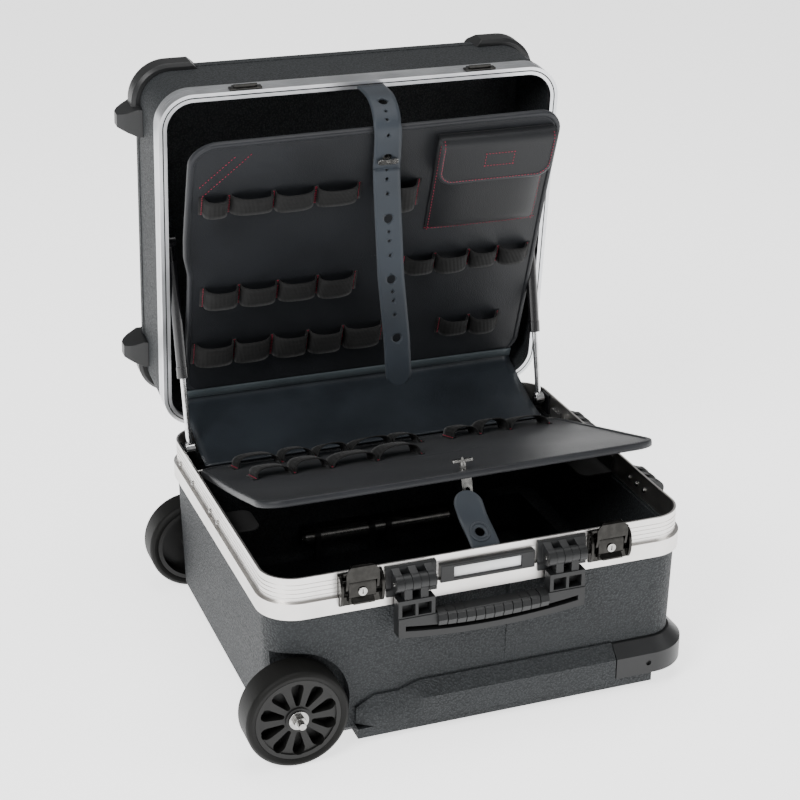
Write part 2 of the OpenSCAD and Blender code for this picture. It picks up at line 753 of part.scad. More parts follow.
module handle() difference() {
    union() {
        for (s = [-1, 1]) translate([s * bracket_gap / 2, 0, 0]) {
            for (i = [-1, 1]) translate([i * knuckle, 0, 0]) {
                pin_x(9, knuckle - 0.4, handle_axis);
                bar(knuckle - 0.4, [[8, -18], [20, -18], [21, -40], [8, -40]]);
            }
            translate([0, -15, -48]) cube([handle_box_w, 14, 24], center = true);
        }
        translate([0, -8, 0]) rotate([90, 0, 0]) linear_extrude(15)
            polygon(concat([[-handle_half, -57], [handle_half, -57]],
                bowed(handle_half, handle_low, handle_bow)));
        // ring segments of the soft grip
        ring_pitch = 130 / grip_rings;
        for (i = [0:grip_rings - 1])
            translate([(i - (grip_rings - 1) / 2) * ring_pitch, 0,
                -handle_bow * (1 - pow((i - (grip_rings - 1) / 2) * ring_pitch / handle_half, 2))])
                bar(ring_pitch - 1, [[9, -50.6], [20, -50], [26, -53], [28, -59], [25, -66],
                    [8, -67], [7, -60]]);
    }
    // the long groove, bowed like the underside
    translate([0, -handle_skin, 0]) rotate([90, 0, 0]) linear_extrude(22)
        polygon(concat(
            bowed(handle_half - 8, slot_top - slot_h, handle_bow),
            [for (i = [12:-1:0]) bowed(handle_half - 8, slot_top, handle_bow)[i]]));
    // two hollows in each end box
    for (s = [-1, 1], w = [-1, 1])
        translate([s * bracket_gap / 2 + w * 9.2 - 7.5, -30, -55])
            cube([15, 30 - handle_skin, 14]);
    for (s = [-1, 1]) translate([s * bracket_gap / 2, 0, 0])
        pin_x(handle_pin_r + fit, bracket_w, handle_axis);
}

module front_handle() color(trim_black) on_front() handle();
module side_handle() color(trim_black) on_right() handle();

// ---- label ----
label_h = 21;
label_top = -10;
window_h = 13;

module label_frame() color(trim_black) on_front() difference() {
    bar(label_w, [[0, label_top], [6, label_top], [7, label_top - 1],
        [7, label_top - label_h + 1], [6, label_top - label_h], [band_step, label_top - label_h],
        [band_step, -upper_band], [0, -upper_band]]);
    translate([0, -6, label_top - label_h / 2])
        cube([label_w - 31, 6, window_h], center = true);
}

module label_card() color("white") on_front()
    translate([0, -3.5, label_top - label_h / 2])
        cube([label_w - 31, 1, window_h], center = true);

// ---- lid ----
// Outer face of the lid shell under its band, and beyond it
band_in = 1;
lid_grow = 3;
lid_side_draft = 0.6;
lid_step_w = 105;
lid_step_out = 1.2;
bumper_start = 95;
bumper_out = 7.5;
bumper_reach = 75;

// A level of the lid that has its own growth to the sides and to front and rear
module lid_level(side, front, z) translate([0, 0, z]) linear_extrude(sliver, $fn = hull_fn)
    rounded(rim_w + 2 * side, rim_d + 2 * front, corner_r + front);

// Wide at its sides, drawn in at front and rear, with a raised band round the back
module lid_outer() {
    side = lid_grow - lid_side_draft;
    front = lid_grow - draft;
    hull() {
        lid_level(lid_grow, lid_grow, bead_h);
        lid_level(side, front, lid_step_w);
    }
    hull() {
        lid_level(side + lid_step_out, front + lid_step_out, lid_step_w - 0.5);
        lid_level(side + lid_step_out, front + lid_step_out, lid_h - edge_bevel);
        lid_level(side - edge_bevel, front - edge_bevel, lid_h - sliver);
    }
}

module lid_cavity() {
    side = lid_grow - lid_side_draft - wall;
    front = lid_grow - draft - wall;
    hull() {
        lid_level(band_in - wall, band_in - wall, bead_h - 1);
        lid_level(side, front, lid_step_w);
        lid_level(side, front, lid_h - edge_bevel - 0.4 * wall);
        lid_level(side - edge_bevel + 0.6 * wall, front - edge_bevel + 0.6 * wall, lid_h - floor_t);
    }
}

module lid_shell() color(shell_grey) on_lid() difference() {
    lid_outer();
    lid_cavity();
    rim_ring(lid_grow + 5, band_in, 0, lid_band + 0.3);
}

seal_w = 1.5;

module lid_frame() color(satin_metal) on_lid() difference() {
    union() {
        rim_ring(lid_over, band_in + 0.2, 0, lid_band);
        rim_ring(band_in + 0.5, band_in + 0.5 - bead_w, 0, bead_h);
    }
    rim_ring(-0.5, -0.5 - seal_w, -1, 1);
    for (i = [1:3])
        rim_ring(lid_over + 2, lid_over - groove_deep, 4 + i * groove_pitch,
            4 + i * groove_pitch + groove_h);
}

module lid_seal() color(rubber_black) on_lid() rim_ring(-0.5, -0.5 - seal_w, -0.35, 1);

bumper_section = [[-5, bumper_start], [3.5, bumper_start], [bumper_out, bumper_start + 4],
    [bumper_out, lid_h - 6], [0.5, lid_h + 3], [-20, lid_h + 3], [-20, lid_h - 5],
    [-5, lid_h - 15]];

// How much further the bumpers stand out at the sides
bumper_side = 4.5;
ear_root = 34;
ear_tip = 15;
ear_out = 30;
ear_at = 58;
ear_section = [[-4, 80], [8, 83], [20, 88], [25, 93], [ear_out, 99], [ear_out, 113],
    [26, 119], [20, 123], [8, 127], [-4, 127]];

// The bumper of the corner at +X, +Y, with an ear that narrows to its tip
module bumper(eared) {
    near = bumper_reach - bumper_out - 4;
    difference() {
        union() {
            translate([bumper_side, 0, 0]) intersection() {
                corner_sweep(bumper_section, bumper_reach - corner_r);
                linear_extrude(lid_h + 10) polygon([
                    [side_x - bumper_reach - 1, rear_y - 4], [side_x - near, rear_y + 8],
                    [side_x + 8, rear_y + 8], [side_x + 8, rear_y - near],
                    [side_x - 4, rear_y - bumper_reach - 1],
                    [side_x - 22, rear_y - bumper_reach - 1], [side_x - 22, rear_y - 22],
                    [side_x - bumper_reach - 1, rear_y - 22]]);
            }
            if (eared) translate([side_x, rear_y - ear_at, 0]) intersection() {
                rotate([90, 0, 0]) linear_extrude(ear_root, center = true) polygon(ear_section);
                linear_extrude(lid_h + 10) polygon([[-6, -ear_root / 2], [8, -ear_root / 2],
                    [ear_out + 1, -ear_tip / 2], [ear_out + 1, ear_tip / 2], [8, ear_root / 2],
                    [-6, ear_root / 2]]);
            }
        }
        lid_outer();
    }
}

module lid_bumpers_right() color(trim_black) on_lid() front_and_rear() bumper(false);
module lid_bumpers_left() color(trim_black) on_lid() mirror([1, 0, 0]) front_and_rear() bumper(true);

// Distance of the lid shell's inner face from the middle, w above its mouth
function lid_inner_x(w) = side_x + band_in - wall
    + (lid_grow - lid_side_draft - band_in) * (w - bead_h + 1) / (lid_step_w - bead_h + 1);

// ---- struts ----
// Children are drawn with z along the strut from its foot
module along_strut(s)
    translate([s * strut_x, strut_foot[0], strut_foot[1]]) rotate([-strut_lean, 0, 0]) children();

module cross_hole(r, h) rotate([0, 90, 0]) cylinder(h = h, r = r, center = true);

module strut_feet() color(trim_black) both_sides() {
    translate([side_x - frame_t - 1.5, strut_foot[0] - 3, rim_z - 14])
        cube([3, 20, 26], center = true);
    translate([0, strut_foot[0], strut_foot[1]]) rotate([0, 90, 0])
        translate([0, 0, strut_x - strut_eye_w / 2 - 1.5])
            cylinder(h = side_x - frame_t - strut_x + strut_eye_w / 2 + 1.5, r = stud_r);
}

// Each lid stud stops beside the strut's eye and turns past its face
module strut_lid_studs() color(trim_black) on_lid() both_sides() {
    face_x = lid_inner_x(stud_rise - 12);
    eye_face = strut_x + strut_eye_w / 2 + play;
    translate([face_x - 2, stud_shut[0] - 12, stud_rise - 12]) cube([2, 24, 24]);
    translate([eye_face, stud_shut[0], stud_rise]) rotate([0, 90, 0])
        cylinder(h = face_x - 1 - eye_face, r = strut_eye_r - 2);
}

strut_end_gap = 23;
collar_len = 14;
cylinder_start = strut_reach - strut_end_gap - strut_len;

module strut_rod(s) color(bright_metal) along_strut(s) difference() {
    union() {
        cross_hole(strut_eye_r, strut_eye_w);
        cylinder(h = cylinder_start + 25, r = rod_d / 2);
    }
    cross_hole(stud_r + fit, strut_eye_w + 2);
}

module strut_cylinder(s) color(rubber_black) along_strut(s) difference() {
    union() {
        translate([0, 0, cylinder_start]) cylinder(h = strut_len, r = strut_d / 2 - 0.5);
        translate([0, 0, cylinder_start]) cylinder(h = collar_len, r = strut_d / 2);
        translate([0, 0, cylinder_start + strut_len - 1]) cylinder(h = strut_end_gap - 4, r = 5);
        translate([0, 0, strut_reach]) cross_hole(strut_eye_r, strut_eye_w);
    }
    translate([0, 0, cylinder_start - 1]) cylinder(h = strut_len - 5, r = rod_d / 2 + fit);
}

module strut_rod_left() strut_rod(-1);
module strut_rod_right() strut_rod(1);
module strut_cylinder_left() strut_cylinder(-1);
module strut_cylinder_right() strut_cylinder(1);

// ---- tool pallets ----
edging_w = 7;
edging_t = board_t + 2.4;

// A board with its hinge sleeve, along its rod at y = 0
module board(w, d, r) difference() {
    union() {
        translate([0, (d + sleeve_r) / 2, 0]) {
            linear_extrude(board_t, center = true) rounded(w, d - sleeve_r, r);
            difference() {
                linear_extrude(edging_t, center = true) rounded(w, d - sleeve_r, r);
                linear_extrude(edging_t + 2, center = true)
                    rounded(w - 2 * edging_w, d - sleeve_r - 2 * edging_w, r - edging_w);
            }
        }
        translate([0, sleeve_r, 0])
            cube([w - 2 * r, 2 * sleeve_r, board_t], center = true);
        pin_x(sleeve_r, w - 2 * r, [0, 0]);
    }
    pin_x(rod_r + fit, w + 2, [0, 0]);
}

// An elastic band sewn down at each of the given places, with a loop between each two
module loop_band(places, y0, y1, rise = loop_rise) {
    for (i = [0:len(places) - 2]) {
        span = places[i + 1] - places[i] - 2;
        r = (span * span / 4 + rise * rise) / (2 * rise);
        intersection() {
            translate([places[i] + 1 + span / 2, y1, half_board + rise - r])
                rotate([90, 0, 0]) difference() {
                    cylinder(h = y1 - y0, r = r);
                    translate([0, 0, -1]) cylinder(h = y1 - y0 + 2, r = r - loop_t);
                }
            translate([places[i] - 20, y0, half_board]) cube([span + 42, y1 - y0, rise + 1]);
        }
    }
    for (x = places) translate([x - 3.5, y0, half_board]) cube([7, y1 - y0, loop_t]);
}

module base_pallet_board() color(leatherette) on_base_pallet()
    board(base_pallet_w, base_pallet_d, board_r);

// Loop places and the pocket were laid out on boards of these sizes
base_sx = base_pallet_w / 470;
base_sy = base_pallet_d / 300;
lid_sx = lid_pallet_w / 448;
lid_sy = lid_pallet_h / 389;

// Each row: the places along the board, then its lower and upper edge
base_rows = [
    [[-195, -139, -97, -54, 1, 38], 20, 50],
    [[-196, -150, -105, -49, 5], 105, 140],
    [[75, 112, 152, 205], 25, 60]];
lid_rows = [
    [[-213, -181, -128, -77, -24], 288, 312],
    [[-204, -160, -112, -62, -14], 150, 178],
    [[-210, -160, -112, -66, -20, 32], 60, 92],
    [[48, 88, 133, 172, 212], 168, 192],
    [[110, 150, 190], 60, 84]];

module loop_rows(rows, sx, sy) for (row = rows)
    loop_band([for (x = row[0]) x * sx], row[1] * sy, row[2] * sy);

module base_pallet_loops() color(leatherette) on_base_pallet()
    loop_rows(base_rows, base_sx, base_sy);

module base_pallet_rod() color(bright_metal)
    translate([0, base_rod[0], base_rod[1]]) pin_x(rod_r, rim_w - 2 * frame_t - 2, [0, 0]);

seat_w = 43;
seat_d = 52;

module base_pallet_seats() color(trim_black) both_sides() {
    // folded plates that carry the stowed pallet
    inner_x = side_x - frame_t - seat_w;
    top_z = base_rod[1] - half_board - 1.2 - soft_gap;
    translate([inner_x, -31, top_z - 2]) linear_extrude(2) difference() {
        square([seat_w, seat_d]);
        translate([-1, -1]) square([13, 13]);
        translate([-1, seat_d - 12]) square([13, 13]);
    }
    translate([inner_x, -31, top_z - 2]) linear_extrude(2)
        for (y = [12, seat_d - 12]) translate([12, y]) circle(12);
    translate([side_x - frame_t - 2, -31, top_z - 2]) cube([2, seat_d, rim_z - 6 - top_z]);
    // plates that carry the hinge rod
    difference() {
        translate([base_pallet_w / 2 + 2, base_rod[0] - 11, base_rod[1] - 7])
            cube([side_x - frame_t - base_pallet_w / 2 - 2, 22, 18]);
        translate([0, base_rod[0], base_rod[1]]) pin_x(rod_r + fit, rim_w, [0, 0]);
    }
}

// A turn-lock: plate and post, and the wing that turns on it
lock_post_r = 4;
lock_post_h = 11;
wing_t = 3;

module lock_post() {
    translate([-14, -7, half_board]) cube([28, 14, 1.5]);
    translate([0, 0, half_board]) cylinder(h = lock_post_h, r = lock_post_r);
    translate([0, 0, half_board]) cylinder(h = lock_post_h + wing_t + 2, r = 1.5);
}

module lock_wing() translate([0, 0, half_board + lock_post_h + 0.2]) difference() {
    union() {
        translate([-9, -3.5, 0]) cube([18, 7, wing_t]);
        for (s = [-1, 1]) translate([s * 9, 0, 0]) cylinder(h = wing_t, r = 3.5);
    }
    translate([0, 0, -1]) cylinder(h = wing_t + 2, r = 1.5 + fit);
}

module base_turnlock_post() color(bright_metal) on_base_pallet()
    translate([0, base_pallet_d - 16, 0]) {
        lock_post();
        // the ring plate under the board's front edge
        difference() {
            translate([-6, 6, -half_board - 19]) cube([12, 2, 19]);
            translate([0, 12, -half_board - 13]) rotate([90, 0, 0]) cylinder(h = 10, r = 3);
        }
    }

module base_turnlock_wing() color(bright_metal) on_base_pallet()
    translate([0, base_pallet_d - 16, 0]) lock_wing();

// The rod held off the lid's rear wall by an arm at each end
module lid_pallet_hanger() color(bright_metal) on_lid()
    translate([0, lid_rod_shut[0], lid_rod_shut[1] - mouth_z]) {
        arm_x = lid_pallet_w / 2 - board_r + 1.5;
        wall_gap = rear_y + band_in - wall - lid_rod_shut[0] - 0.7;
        pin_x(rod_r, 2 * arm_x + 12, [0, 0]);
        both_sides() {
            translate([arm_x, -1, -1]) cube([6, wall_gap + 1, 6]);
            translate([arm_x - 5, wall_gap - 2, -10]) cube([16, 2, 20]);
        }
    }

module lid_pallet_board() color(leatherette) on_lid_pallet()
    board(lid_pallet_w, lid_pallet_h, board_r);

module lid_pallet_loops() color(leatherette) on_lid_pallet()
    loop_rows(lid_rows, lid_sx, lid_sy);

pocket_x0 = 68 * lid_sx;
pocket_x1 = 211 * lid_sx;
pocket_low = 231 * lid_sy;
pocket_top = 366 * lid_sy;
pocket_t = 17;

module lid_pocket() color(leatherette) on_lid_pallet() difference() {
    translate([pocket_x0, pocket_low, half_board])
        cube([pocket_x1 - pocket_x0, pocket_top - pocket_low, pocket_t]);
    translate([pocket_x0 + loop_t, pocket_low + loop_t, half_board + loop_t])
        cube([pocket_x1 - pocket_x0 - 2 * loop_t, pocket_top - pocket_low,
            pocket_t - 2 * loop_t]);
}

flap_drop = 70;
flap_roll_r = 1.3;
flap_hinge = [pocket_top + 2, half_board + soft_gap + flap_roll_r];

// The flap folds on a thin roll along its upper edge
module lid_pocket_flap() color(leatherette) on_lid_pallet() {
    front_n = half_board + pocket_t + soft_gap;
    flap_w = pocket_x1 - pocket_x0 + 4;
    translate([pocket_x0 - 2, flap_hinge[0] - 1, flap_hinge[1]])
        cube([flap_w, 2, front_n - flap_hinge[1] + 1.6]);
    translate([pocket_x0 - 2, flap_hinge[0] + 1 - flap_drop, front_n])
        cube([flap_w, flap_drop, 1.6]);
    translate([pocket_x0 - 2 + flap_w / 2, flap_hinge[0], flap_hinge[1]])
        pin_x(flap_roll_r, flap_w, [0, 0]);
}

lid_lock_y = 346 * lid_sy;
lid_lock_x = 3;

module lid_turnlock_post() color(bright_metal) on_lid_pallet()
    translate([lid_lock_x, lid_lock_y, 0]) lock_post();

module lid_turnlock_wing() color(bright_metal) on_lid_pallet()
    translate([lid_lock_x, lid_lock_y, 0]) lock_wing();

// A flat band of thickness t that follows [y, z] points, and is w wide along X
function step_normal(a, b) = [a[1] - b[1], b[0] - a[0]] / norm(b - a);
function point_normal(p, i) =
    i == 0 ? step_normal(p[0], p[1]) :
    i == len(p) - 1 ? step_normal(p[i - 1], p[i]) :
    (step_normal(p[i - 1], p[i]) + step_normal(p[i], p[i + 1])) / 2;
function band_side(p, t) = [for (i = [0:len(p) - 1]) p[i] + point_normal(p, i) * t];
module ribbon(path, w, t) rotate([90, 0, 90]) linear_extrude(w, center = true)
    polygon(concat(band_side(path, t / 2),
        [for (i = [len(path) - 1:-1:0]) band_side(path, -t / 2)[i]]));

strap_w = 33;
strap_t = 2.5;
eyelet_r = 9;

// A point of the open case, inward from the shut lid's front face and w above its mouth
function lid_point(inward, w) =
    hinge_at + turned([inward - rear_y - hinge_y, mouth_z + w - hinge_z], -lid_angle);

module lid_strap() color(leatherette) {
    lock_y = lid_rod_open[0] - lid_lock_y * sin(lid_pallet_lean) - 9;
    lock_z = lid_rod_open[1] + lid_lock_y * cos(lid_pallet_lean);
    tip_z = rim_z + 62;
    under_wall = wall + strap_t / 2;
    translate([lid_lock_x, 0, 0]) difference() {
        ribbon([lid_point(under_wall + 1, 50), lid_point(under_wall + 0.5, 34),
            lid_point(9, 12), lid_point(10, -10), [lock_y + 1, lock_z + 49],
            [lock_y - 11, lock_z + 43], [lock_y - 14, lock_z + 34], [lock_y - 1, lock_z],
            [lock_y + 2, lock_z - 20], [lock_y + 4, lock_z - 150], [lock_y + 7, tip_z]],
            strap_w, strap_t);
        for (i = [0:4]) translate([0, lock_y, lock_z - 4 - i * 66]) rotate([90, 0, 0])
            cylinder(h = 40, r = eyelet_r - 3, center = true);
    }
}

module base_strap() color(leatherette) {
    wall_y = frame_t + strap_t / 2 + soft_gap - rear_y;
    difference() {
        ribbon([[wall_y, rim_z - 22], [wall_y + 0.5, rim_z - 4], [wall_y + 11, rim_z + 8],
            [wall_y + 29, rim_z + 22], [wall_y + 41, rim_z + 48]], strap_w, strap_t);
        translate([0, wall_y + 35, rim_z + 35]) rotate([65, 0, 0])
            cylinder(h = 30, r = eyelet_r - 3, center = true);
    }
}

// The leatherette that joins the two pallets and hides the gap over the hinge
module pallet_flap() color(leatherette) {
    reach = (sleeve_r + soft_gap + 1) / sqrt(2);
    top = lid_rod_open - [reach, reach];
    low = base_rod + [reach, reach];
    ribbon([top, [rear_y + 10, rim_z + 13.5], [rear_y - 4, rim_z + 6.5],
        [rear_y - 26, rim_z - 3], [rear_y - 52, rim_z - 12], low], lid_pallet_w - 6, 2);
}

base_shell();
base_frame();
frame_rivets();
rubber_feet();
stub_axles();
axle_nuts();
front_wheel();
front_tyre();
rear_wheel();
rear_tyre();
trolley_fixed_tubes();
trolley_clamps();
trolley_middle_tubes();
trolley_inner_tubes();
trolley_grip();
trolley_button();
hinge_leaves_base();
hinge_leaves_lid();
hinge_pins();
latch_plates();
latch_lever_left();
latch_lever_right();
latch_hasp_left();
latch_hasp_right();
lock_barrel_left();
lock_barrel_right();
lid_keepers();
handle_brackets();
handle_pins();
front_handle();
side_handle();
label_frame();
label_card();
lid_shell();
lid_frame();
lid_seal();
lid_bumpers_left();
lid_bumpers_right();
strut_feet();
strut_lid_studs();
strut_rod_left();
strut_rod_right();
strut_cylinder_left();
strut_cylinder_right();
base_pallet_seats();
base_pallet_rod();
base_pallet_board();
base_pallet_loops();
base_turnlock_post();
base_turnlock_wing();
base_strap();
lid_pallet_hanger();
lid_pallet_board();
lid_pallet_loops();
lid_pocket();
lid_pocket_flap();
lid_turnlock_post();
lid_turnlock_wing();
lid_strap();
pallet_flap();
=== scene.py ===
# %% [markdown]
# # A wheeled hard tool case, standing open
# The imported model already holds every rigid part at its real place, so this
# lesson only dresses it. Moulded shells, frames and fittings are taken from the
# frame and get softened edges and their finishes. What is sewn, such as the two
# pallets with their elastic loops, the pocket and the straps, is built here.

# %% Load the frame
import json
import math
import random

import bmesh
import bpy
import numpy as np
from mathutils import Matrix, Vector


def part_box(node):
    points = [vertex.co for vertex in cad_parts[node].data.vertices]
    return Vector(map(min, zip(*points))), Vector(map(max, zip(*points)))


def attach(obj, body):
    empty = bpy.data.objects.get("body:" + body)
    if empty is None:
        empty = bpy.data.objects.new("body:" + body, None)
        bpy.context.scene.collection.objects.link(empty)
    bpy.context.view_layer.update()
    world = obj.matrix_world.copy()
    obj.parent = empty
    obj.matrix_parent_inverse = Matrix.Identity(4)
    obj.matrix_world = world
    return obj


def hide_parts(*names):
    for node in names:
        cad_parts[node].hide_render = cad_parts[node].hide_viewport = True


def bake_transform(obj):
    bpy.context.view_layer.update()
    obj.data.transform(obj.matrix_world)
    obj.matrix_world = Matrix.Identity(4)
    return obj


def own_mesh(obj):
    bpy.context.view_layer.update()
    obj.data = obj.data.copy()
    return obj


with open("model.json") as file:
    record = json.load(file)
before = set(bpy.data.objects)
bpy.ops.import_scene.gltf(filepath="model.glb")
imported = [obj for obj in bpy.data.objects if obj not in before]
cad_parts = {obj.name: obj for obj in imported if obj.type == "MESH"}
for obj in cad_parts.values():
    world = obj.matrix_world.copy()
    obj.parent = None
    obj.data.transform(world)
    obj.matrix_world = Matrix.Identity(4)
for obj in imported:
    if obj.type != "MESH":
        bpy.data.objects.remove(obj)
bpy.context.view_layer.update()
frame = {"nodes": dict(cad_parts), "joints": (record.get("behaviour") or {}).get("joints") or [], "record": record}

MM = 0.001
joints = {joint["name"]: joint for joint in frame["joints"]}


def node_box(node):
    """Lowest and highest corner of a node of the frame, in millimetres."""
    low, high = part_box(node)
    return low / MM, high / MM


# %% [markdown]
# ## Camera, floor and light
# A product photograph has its camera a little above the object, a long lens and
# large soft lights. The camera's place and turn are written as a photographer
# would say them: where it stands, how far it is turned, and how far it looks
# down. The axes of the camera then follow from these angles.

# %% Camera
camera_place = Vector((-0.71398, -1.8589, 1.1311))
camera_turn, camera_dip, camera_roll = (math.radians(a) for a in (20.44, 22.82, -0.17))
camera_lens, sensor_width = 84.07, 36

ahead = Vector((math.sin(camera_turn) * math.cos(camera_dip),
                math.cos(camera_turn) * math.cos(camera_dip), -math.sin(camera_dip)))
level = Vector((math.cos(camera_turn), -math.sin(camera_turn), 0))
upward = level.cross(ahead)
camera_right = level * math.cos(camera_roll) - upward * math.sin(camera_roll)
camera_up = camera_right.cross(ahead)

camera_data = bpy.data.cameras.new("camera")
camera_data.lens, camera_data.sensor_width = camera_lens, sensor_width
camera = bpy.data.objects.new("camera", camera_data)
bpy.context.scene.collection.objects.link(camera)
camera.matrix_world = Matrix.Translation(camera_place) @ Matrix(
    (camera_right, camera_up, -ahead)).transposed().to_4x4()
bpy.context.scene.camera = camera
print("camera:", camera_lens, "mm lens at", [round(c, 3) for c in camera_place])

# %% Floor and lights
floor_z = node_box("rubber_feet")[0].z * MM
floor_size = 200
bpy.ops.mesh.primitive_plane_add(size=floor_size, location=(0, 0, floor_z))
floor = bpy.context.object
floor.name = "floor"

world = bpy.data.worlds.new("studio")
world.use_nodes = True
bpy.context.scene.world = world
backdrop = world.node_tree.nodes["Background"].inputs
backdrop["Color"].default_value = (1, 1, 1, 1)
backdrop["Strength"].default_value = 0.3


def soft_light(name, place, aim, size, power):
    """A round lamp, size metres wide and power watts strong, turned to where it aims."""
    light = bpy.data.lights.new(name, "AREA")
    light.shape, light.size, light.energy = "DISK", size, power
    lamp = bpy.data.objects.new(name, light)
    bpy.context.scene.collection.objects.link(lamp)
    lamp.location = place
    lamp.rotation_mode = "QUATERNION"
    lamp.rotation_quaternion = (Vector(aim) - Vector(place)).to_track_quat("-Z", "Y")


soft_light("key", (-2.0, -1.5, 2.2), (0, 0, 0.3), 1.4, 75)
soft_light("fill", (2.3, -1.6, 1.3), (0, 0, 0.3), 1.6, 26)
soft_light("top", (0.2, 0.2, 3.0), (0, 0, 0.2), 2.0, 45)

# %% [markdown]
# ## A small language for finishes
# A shader is a sum of socket values. It could be wired by hand, node by node, but
# then the pattern is hard to read. The class below wraps a socket instead, so
# that a pattern is written as ordinary arithmetic, and each operator adds its
# Math node. Everything else goes through one method of the finish, which takes a
# node's type, its settings and what its sockets hold.

# %% Wire
class Wire:
    """One socket of a finish, usable in sums."""

    def __init__(self, finish, socket):
        self.finish, self.socket = finish, socket

    def math(self, operation, *others):
        return self.finish.node("ShaderNodeMath", {"operation": operation}, self, *others)

    def __add__(self, other):
        return self.math("ADD", other)

    def __mul__(self, other):
        return self.math("MULTIPLY", other)

    def __sub__(self, other):
        return self.math("SUBTRACT", other)

    def __rsub__(self, other):
        return self * -1 + other

    __radd__, __rmul__ = __add__, __mul__

    def between(self, low, high):
        """Runs smoothly from 0 to 1 as this socket goes from low to high."""
        return self.finish.node(
            "ShaderNodeMapRange", {"interpolation_type": "SMOOTHSTEP"},
            self, low, high, 0.0, 1.0)


def shade(colour, factor):
    """A darker or lighter tone of a colour."""
    return tuple(min(1, factor * c) for c in colour)


# %% Finish
class Finish:
    """A material with one Principled shader, named by what it is on the case."""

    def __init__(self, name, colour, roughness, metallic=0.0, **settings):
        self.material = bpy.data.materials.new(name)
        self.material.use_nodes = True
        self.tree = self.material.node_tree
        self.shader = self.tree.nodes["Principled BSDF"]
        self.set("Base Color", (*colour, 1))
        self.set("Roughness", roughness)
        self.set("Metallic", metallic)
        for label, value in settings.items():
            self.set(label.replace("_", " "), value)
        self.place = self.node("ShaderNodeTexCoord", output="Object")

    def plug(self, socket, value):
        if isinstance(value, Wire):
            self.tree.links.new(value.socket, socket)
        else:
            socket.default_value = value

    def set(self, label, value):
        self.plug(self.shader.inputs[label], value)

    def node(self, kind, settings=None, *values, output=0, **named):
        made = self.tree.nodes.new(kind)
        for label, value in (settings or {}).items():
            setattr(made, label, value)
        for socket, value in zip(made.inputs, values):
            self.plug(socket, value)
        for label, value in named.items():
            self.plug(made.inputs[label.replace("_", " ")], value)
        return Wire(self, made.outputs[output])

    def mapped(self, scale, turn):
        return self.node("ShaderNodeMapping", None, self.place, (0, 0, 0), turn, scale)

    def noise(self, scale, detail=2.0, source=None, roughness=0.5):
        return self.node("ShaderNodeTexNoise", None, Vector=source or self.place,
                         Scale=scale, Detail=detail, Roughness=roughness)

    def cells(self, scale):
        """Round cells that run softly into each other, scale of them to a metre."""
        return self.node("ShaderNodeTexVoronoi", {"feature": "SMOOTH_F1"},
                         Vector=self.place, Scale=scale, Smoothness=0.5)

    def mix(self, factor, dark, light):
        made = self.tree.nodes.new("ShaderNodeMix")
        made.data_type = "RGBA"
        self.plug(made.inputs["Factor"], factor)
        for label, colour in (("A", dark), ("B", light)):
            sockets = [s for s in made.inputs if s.name == label and s.type == "RGBA"]
            self.plug(sockets[0], colour if isinstance(colour, Wire) else (*colour, 1))
        return Wire(self, [s for s in made.outputs if s.type == "RGBA"][0])

    def tint(self, mask, colour, dark, light):
        """Sets the colour: a dark tone where the mask is 0, and a light one where it is 1."""
        self.set("Base Color", self.mix(mask, shade(colour, dark), shade(colour, light)))

    def emboss(self, height, depth):
        """Feeds a height pattern, depth metres deep, to the shader's normal."""
        self.set("Normal", self.node("ShaderNodeBump", None, Strength=1.0,
                                     Distance=depth, Height=height))
        return self


# %% [markdown]
# ## Plastics and rubbers
# The shells are moulded with a pebbled grain a little over two millimetres wide,
# which hides scratches. It is far too fine to be modelled. Voronoi cells,
# smoothed, give such a grain: each cell is one pebble. The grips, bumpers and
# wheels are smoother, with only the faint unevenness of a moulded skin.

# %% Moulded plastics
def pebbled(name, colour, depth):
    """Pebbles with paler tops, on a skin that is worn in patches."""
    finish = Finish(name, colour, 0.5, Specular_IOR_Level=0.3)
    pebble = finish.cells(420)
    fine = finish.noise(1500, 2.0)
    patch = finish.noise(9, 3.0)
    worn = finish.mix(patch.between(0.3, 0.7), shade(colour, 0.86), shade(colour, 1.14))
    finish.set("Base Color", finish.mix(pebble.between(0.1, 0.62), shade(colour, 1.7), worn))
    finish.set("Roughness", 0.42 + 0.14 * patch + 0.3 * pebble)
    return finish.emboss(0.3 * fine - pebble, depth)


def moulded(name, colour, roughness, depth=0.00004, specular=0.3):
    """A plain moulded skin, faintly uneven."""
    finish = Finish(name, colour, roughness, Specular_IOR_Level=specular)
    skin = finish.noise(900, 2.0)
    patch = finish.noise(14, 3.0)
    finish.tint(patch.between(0.3, 0.7), colour, 0.85, 1.15)
    finish.set("Roughness", roughness - 0.05 + 0.1 * patch + 0.06 * skin)
    return finish.emboss(skin, depth)


shell_plastic = pebbled("shell_plastic", (0.0165, 0.0185, 0.02), 0.001)
trim_plastic = moulded("trim_plastic", (0.0135, 0.014, 0.0145), 0.36)
wheel_plastic = moulded("wheel_plastic", (0.0095, 0.0095, 0.009), 0.36, specular=0.25)
tyre_rubber = moulded("tyre_rubber", (0.0065, 0.0065, 0.006), 0.5, 0.00008, 0.15)
black_rubber = moulded("black_rubber", (0.008, 0.008, 0.008), 0.6)
gusset_plastic = moulded("gusset_plastic", (0.03, 0.03, 0.03), 0.4)

# %% [markdown]
# ## Metals
# The frames are drawn aluminium: the die leaves fine lines that run along the
# section, so the pattern is a noise that is stretched round the case and very
# tight across the band. An anisotropic shader would give such lines their gloss
# only, and here they are seen one by one. The lid's lines are turned with the
# lid. The latches are darkly plated, and the small fittings are bright.

# %% Metals
lid_turn = math.radians(joints["lid_hinge"]["range_deg"][0])
die_line_scale = (5, 5, 2600)


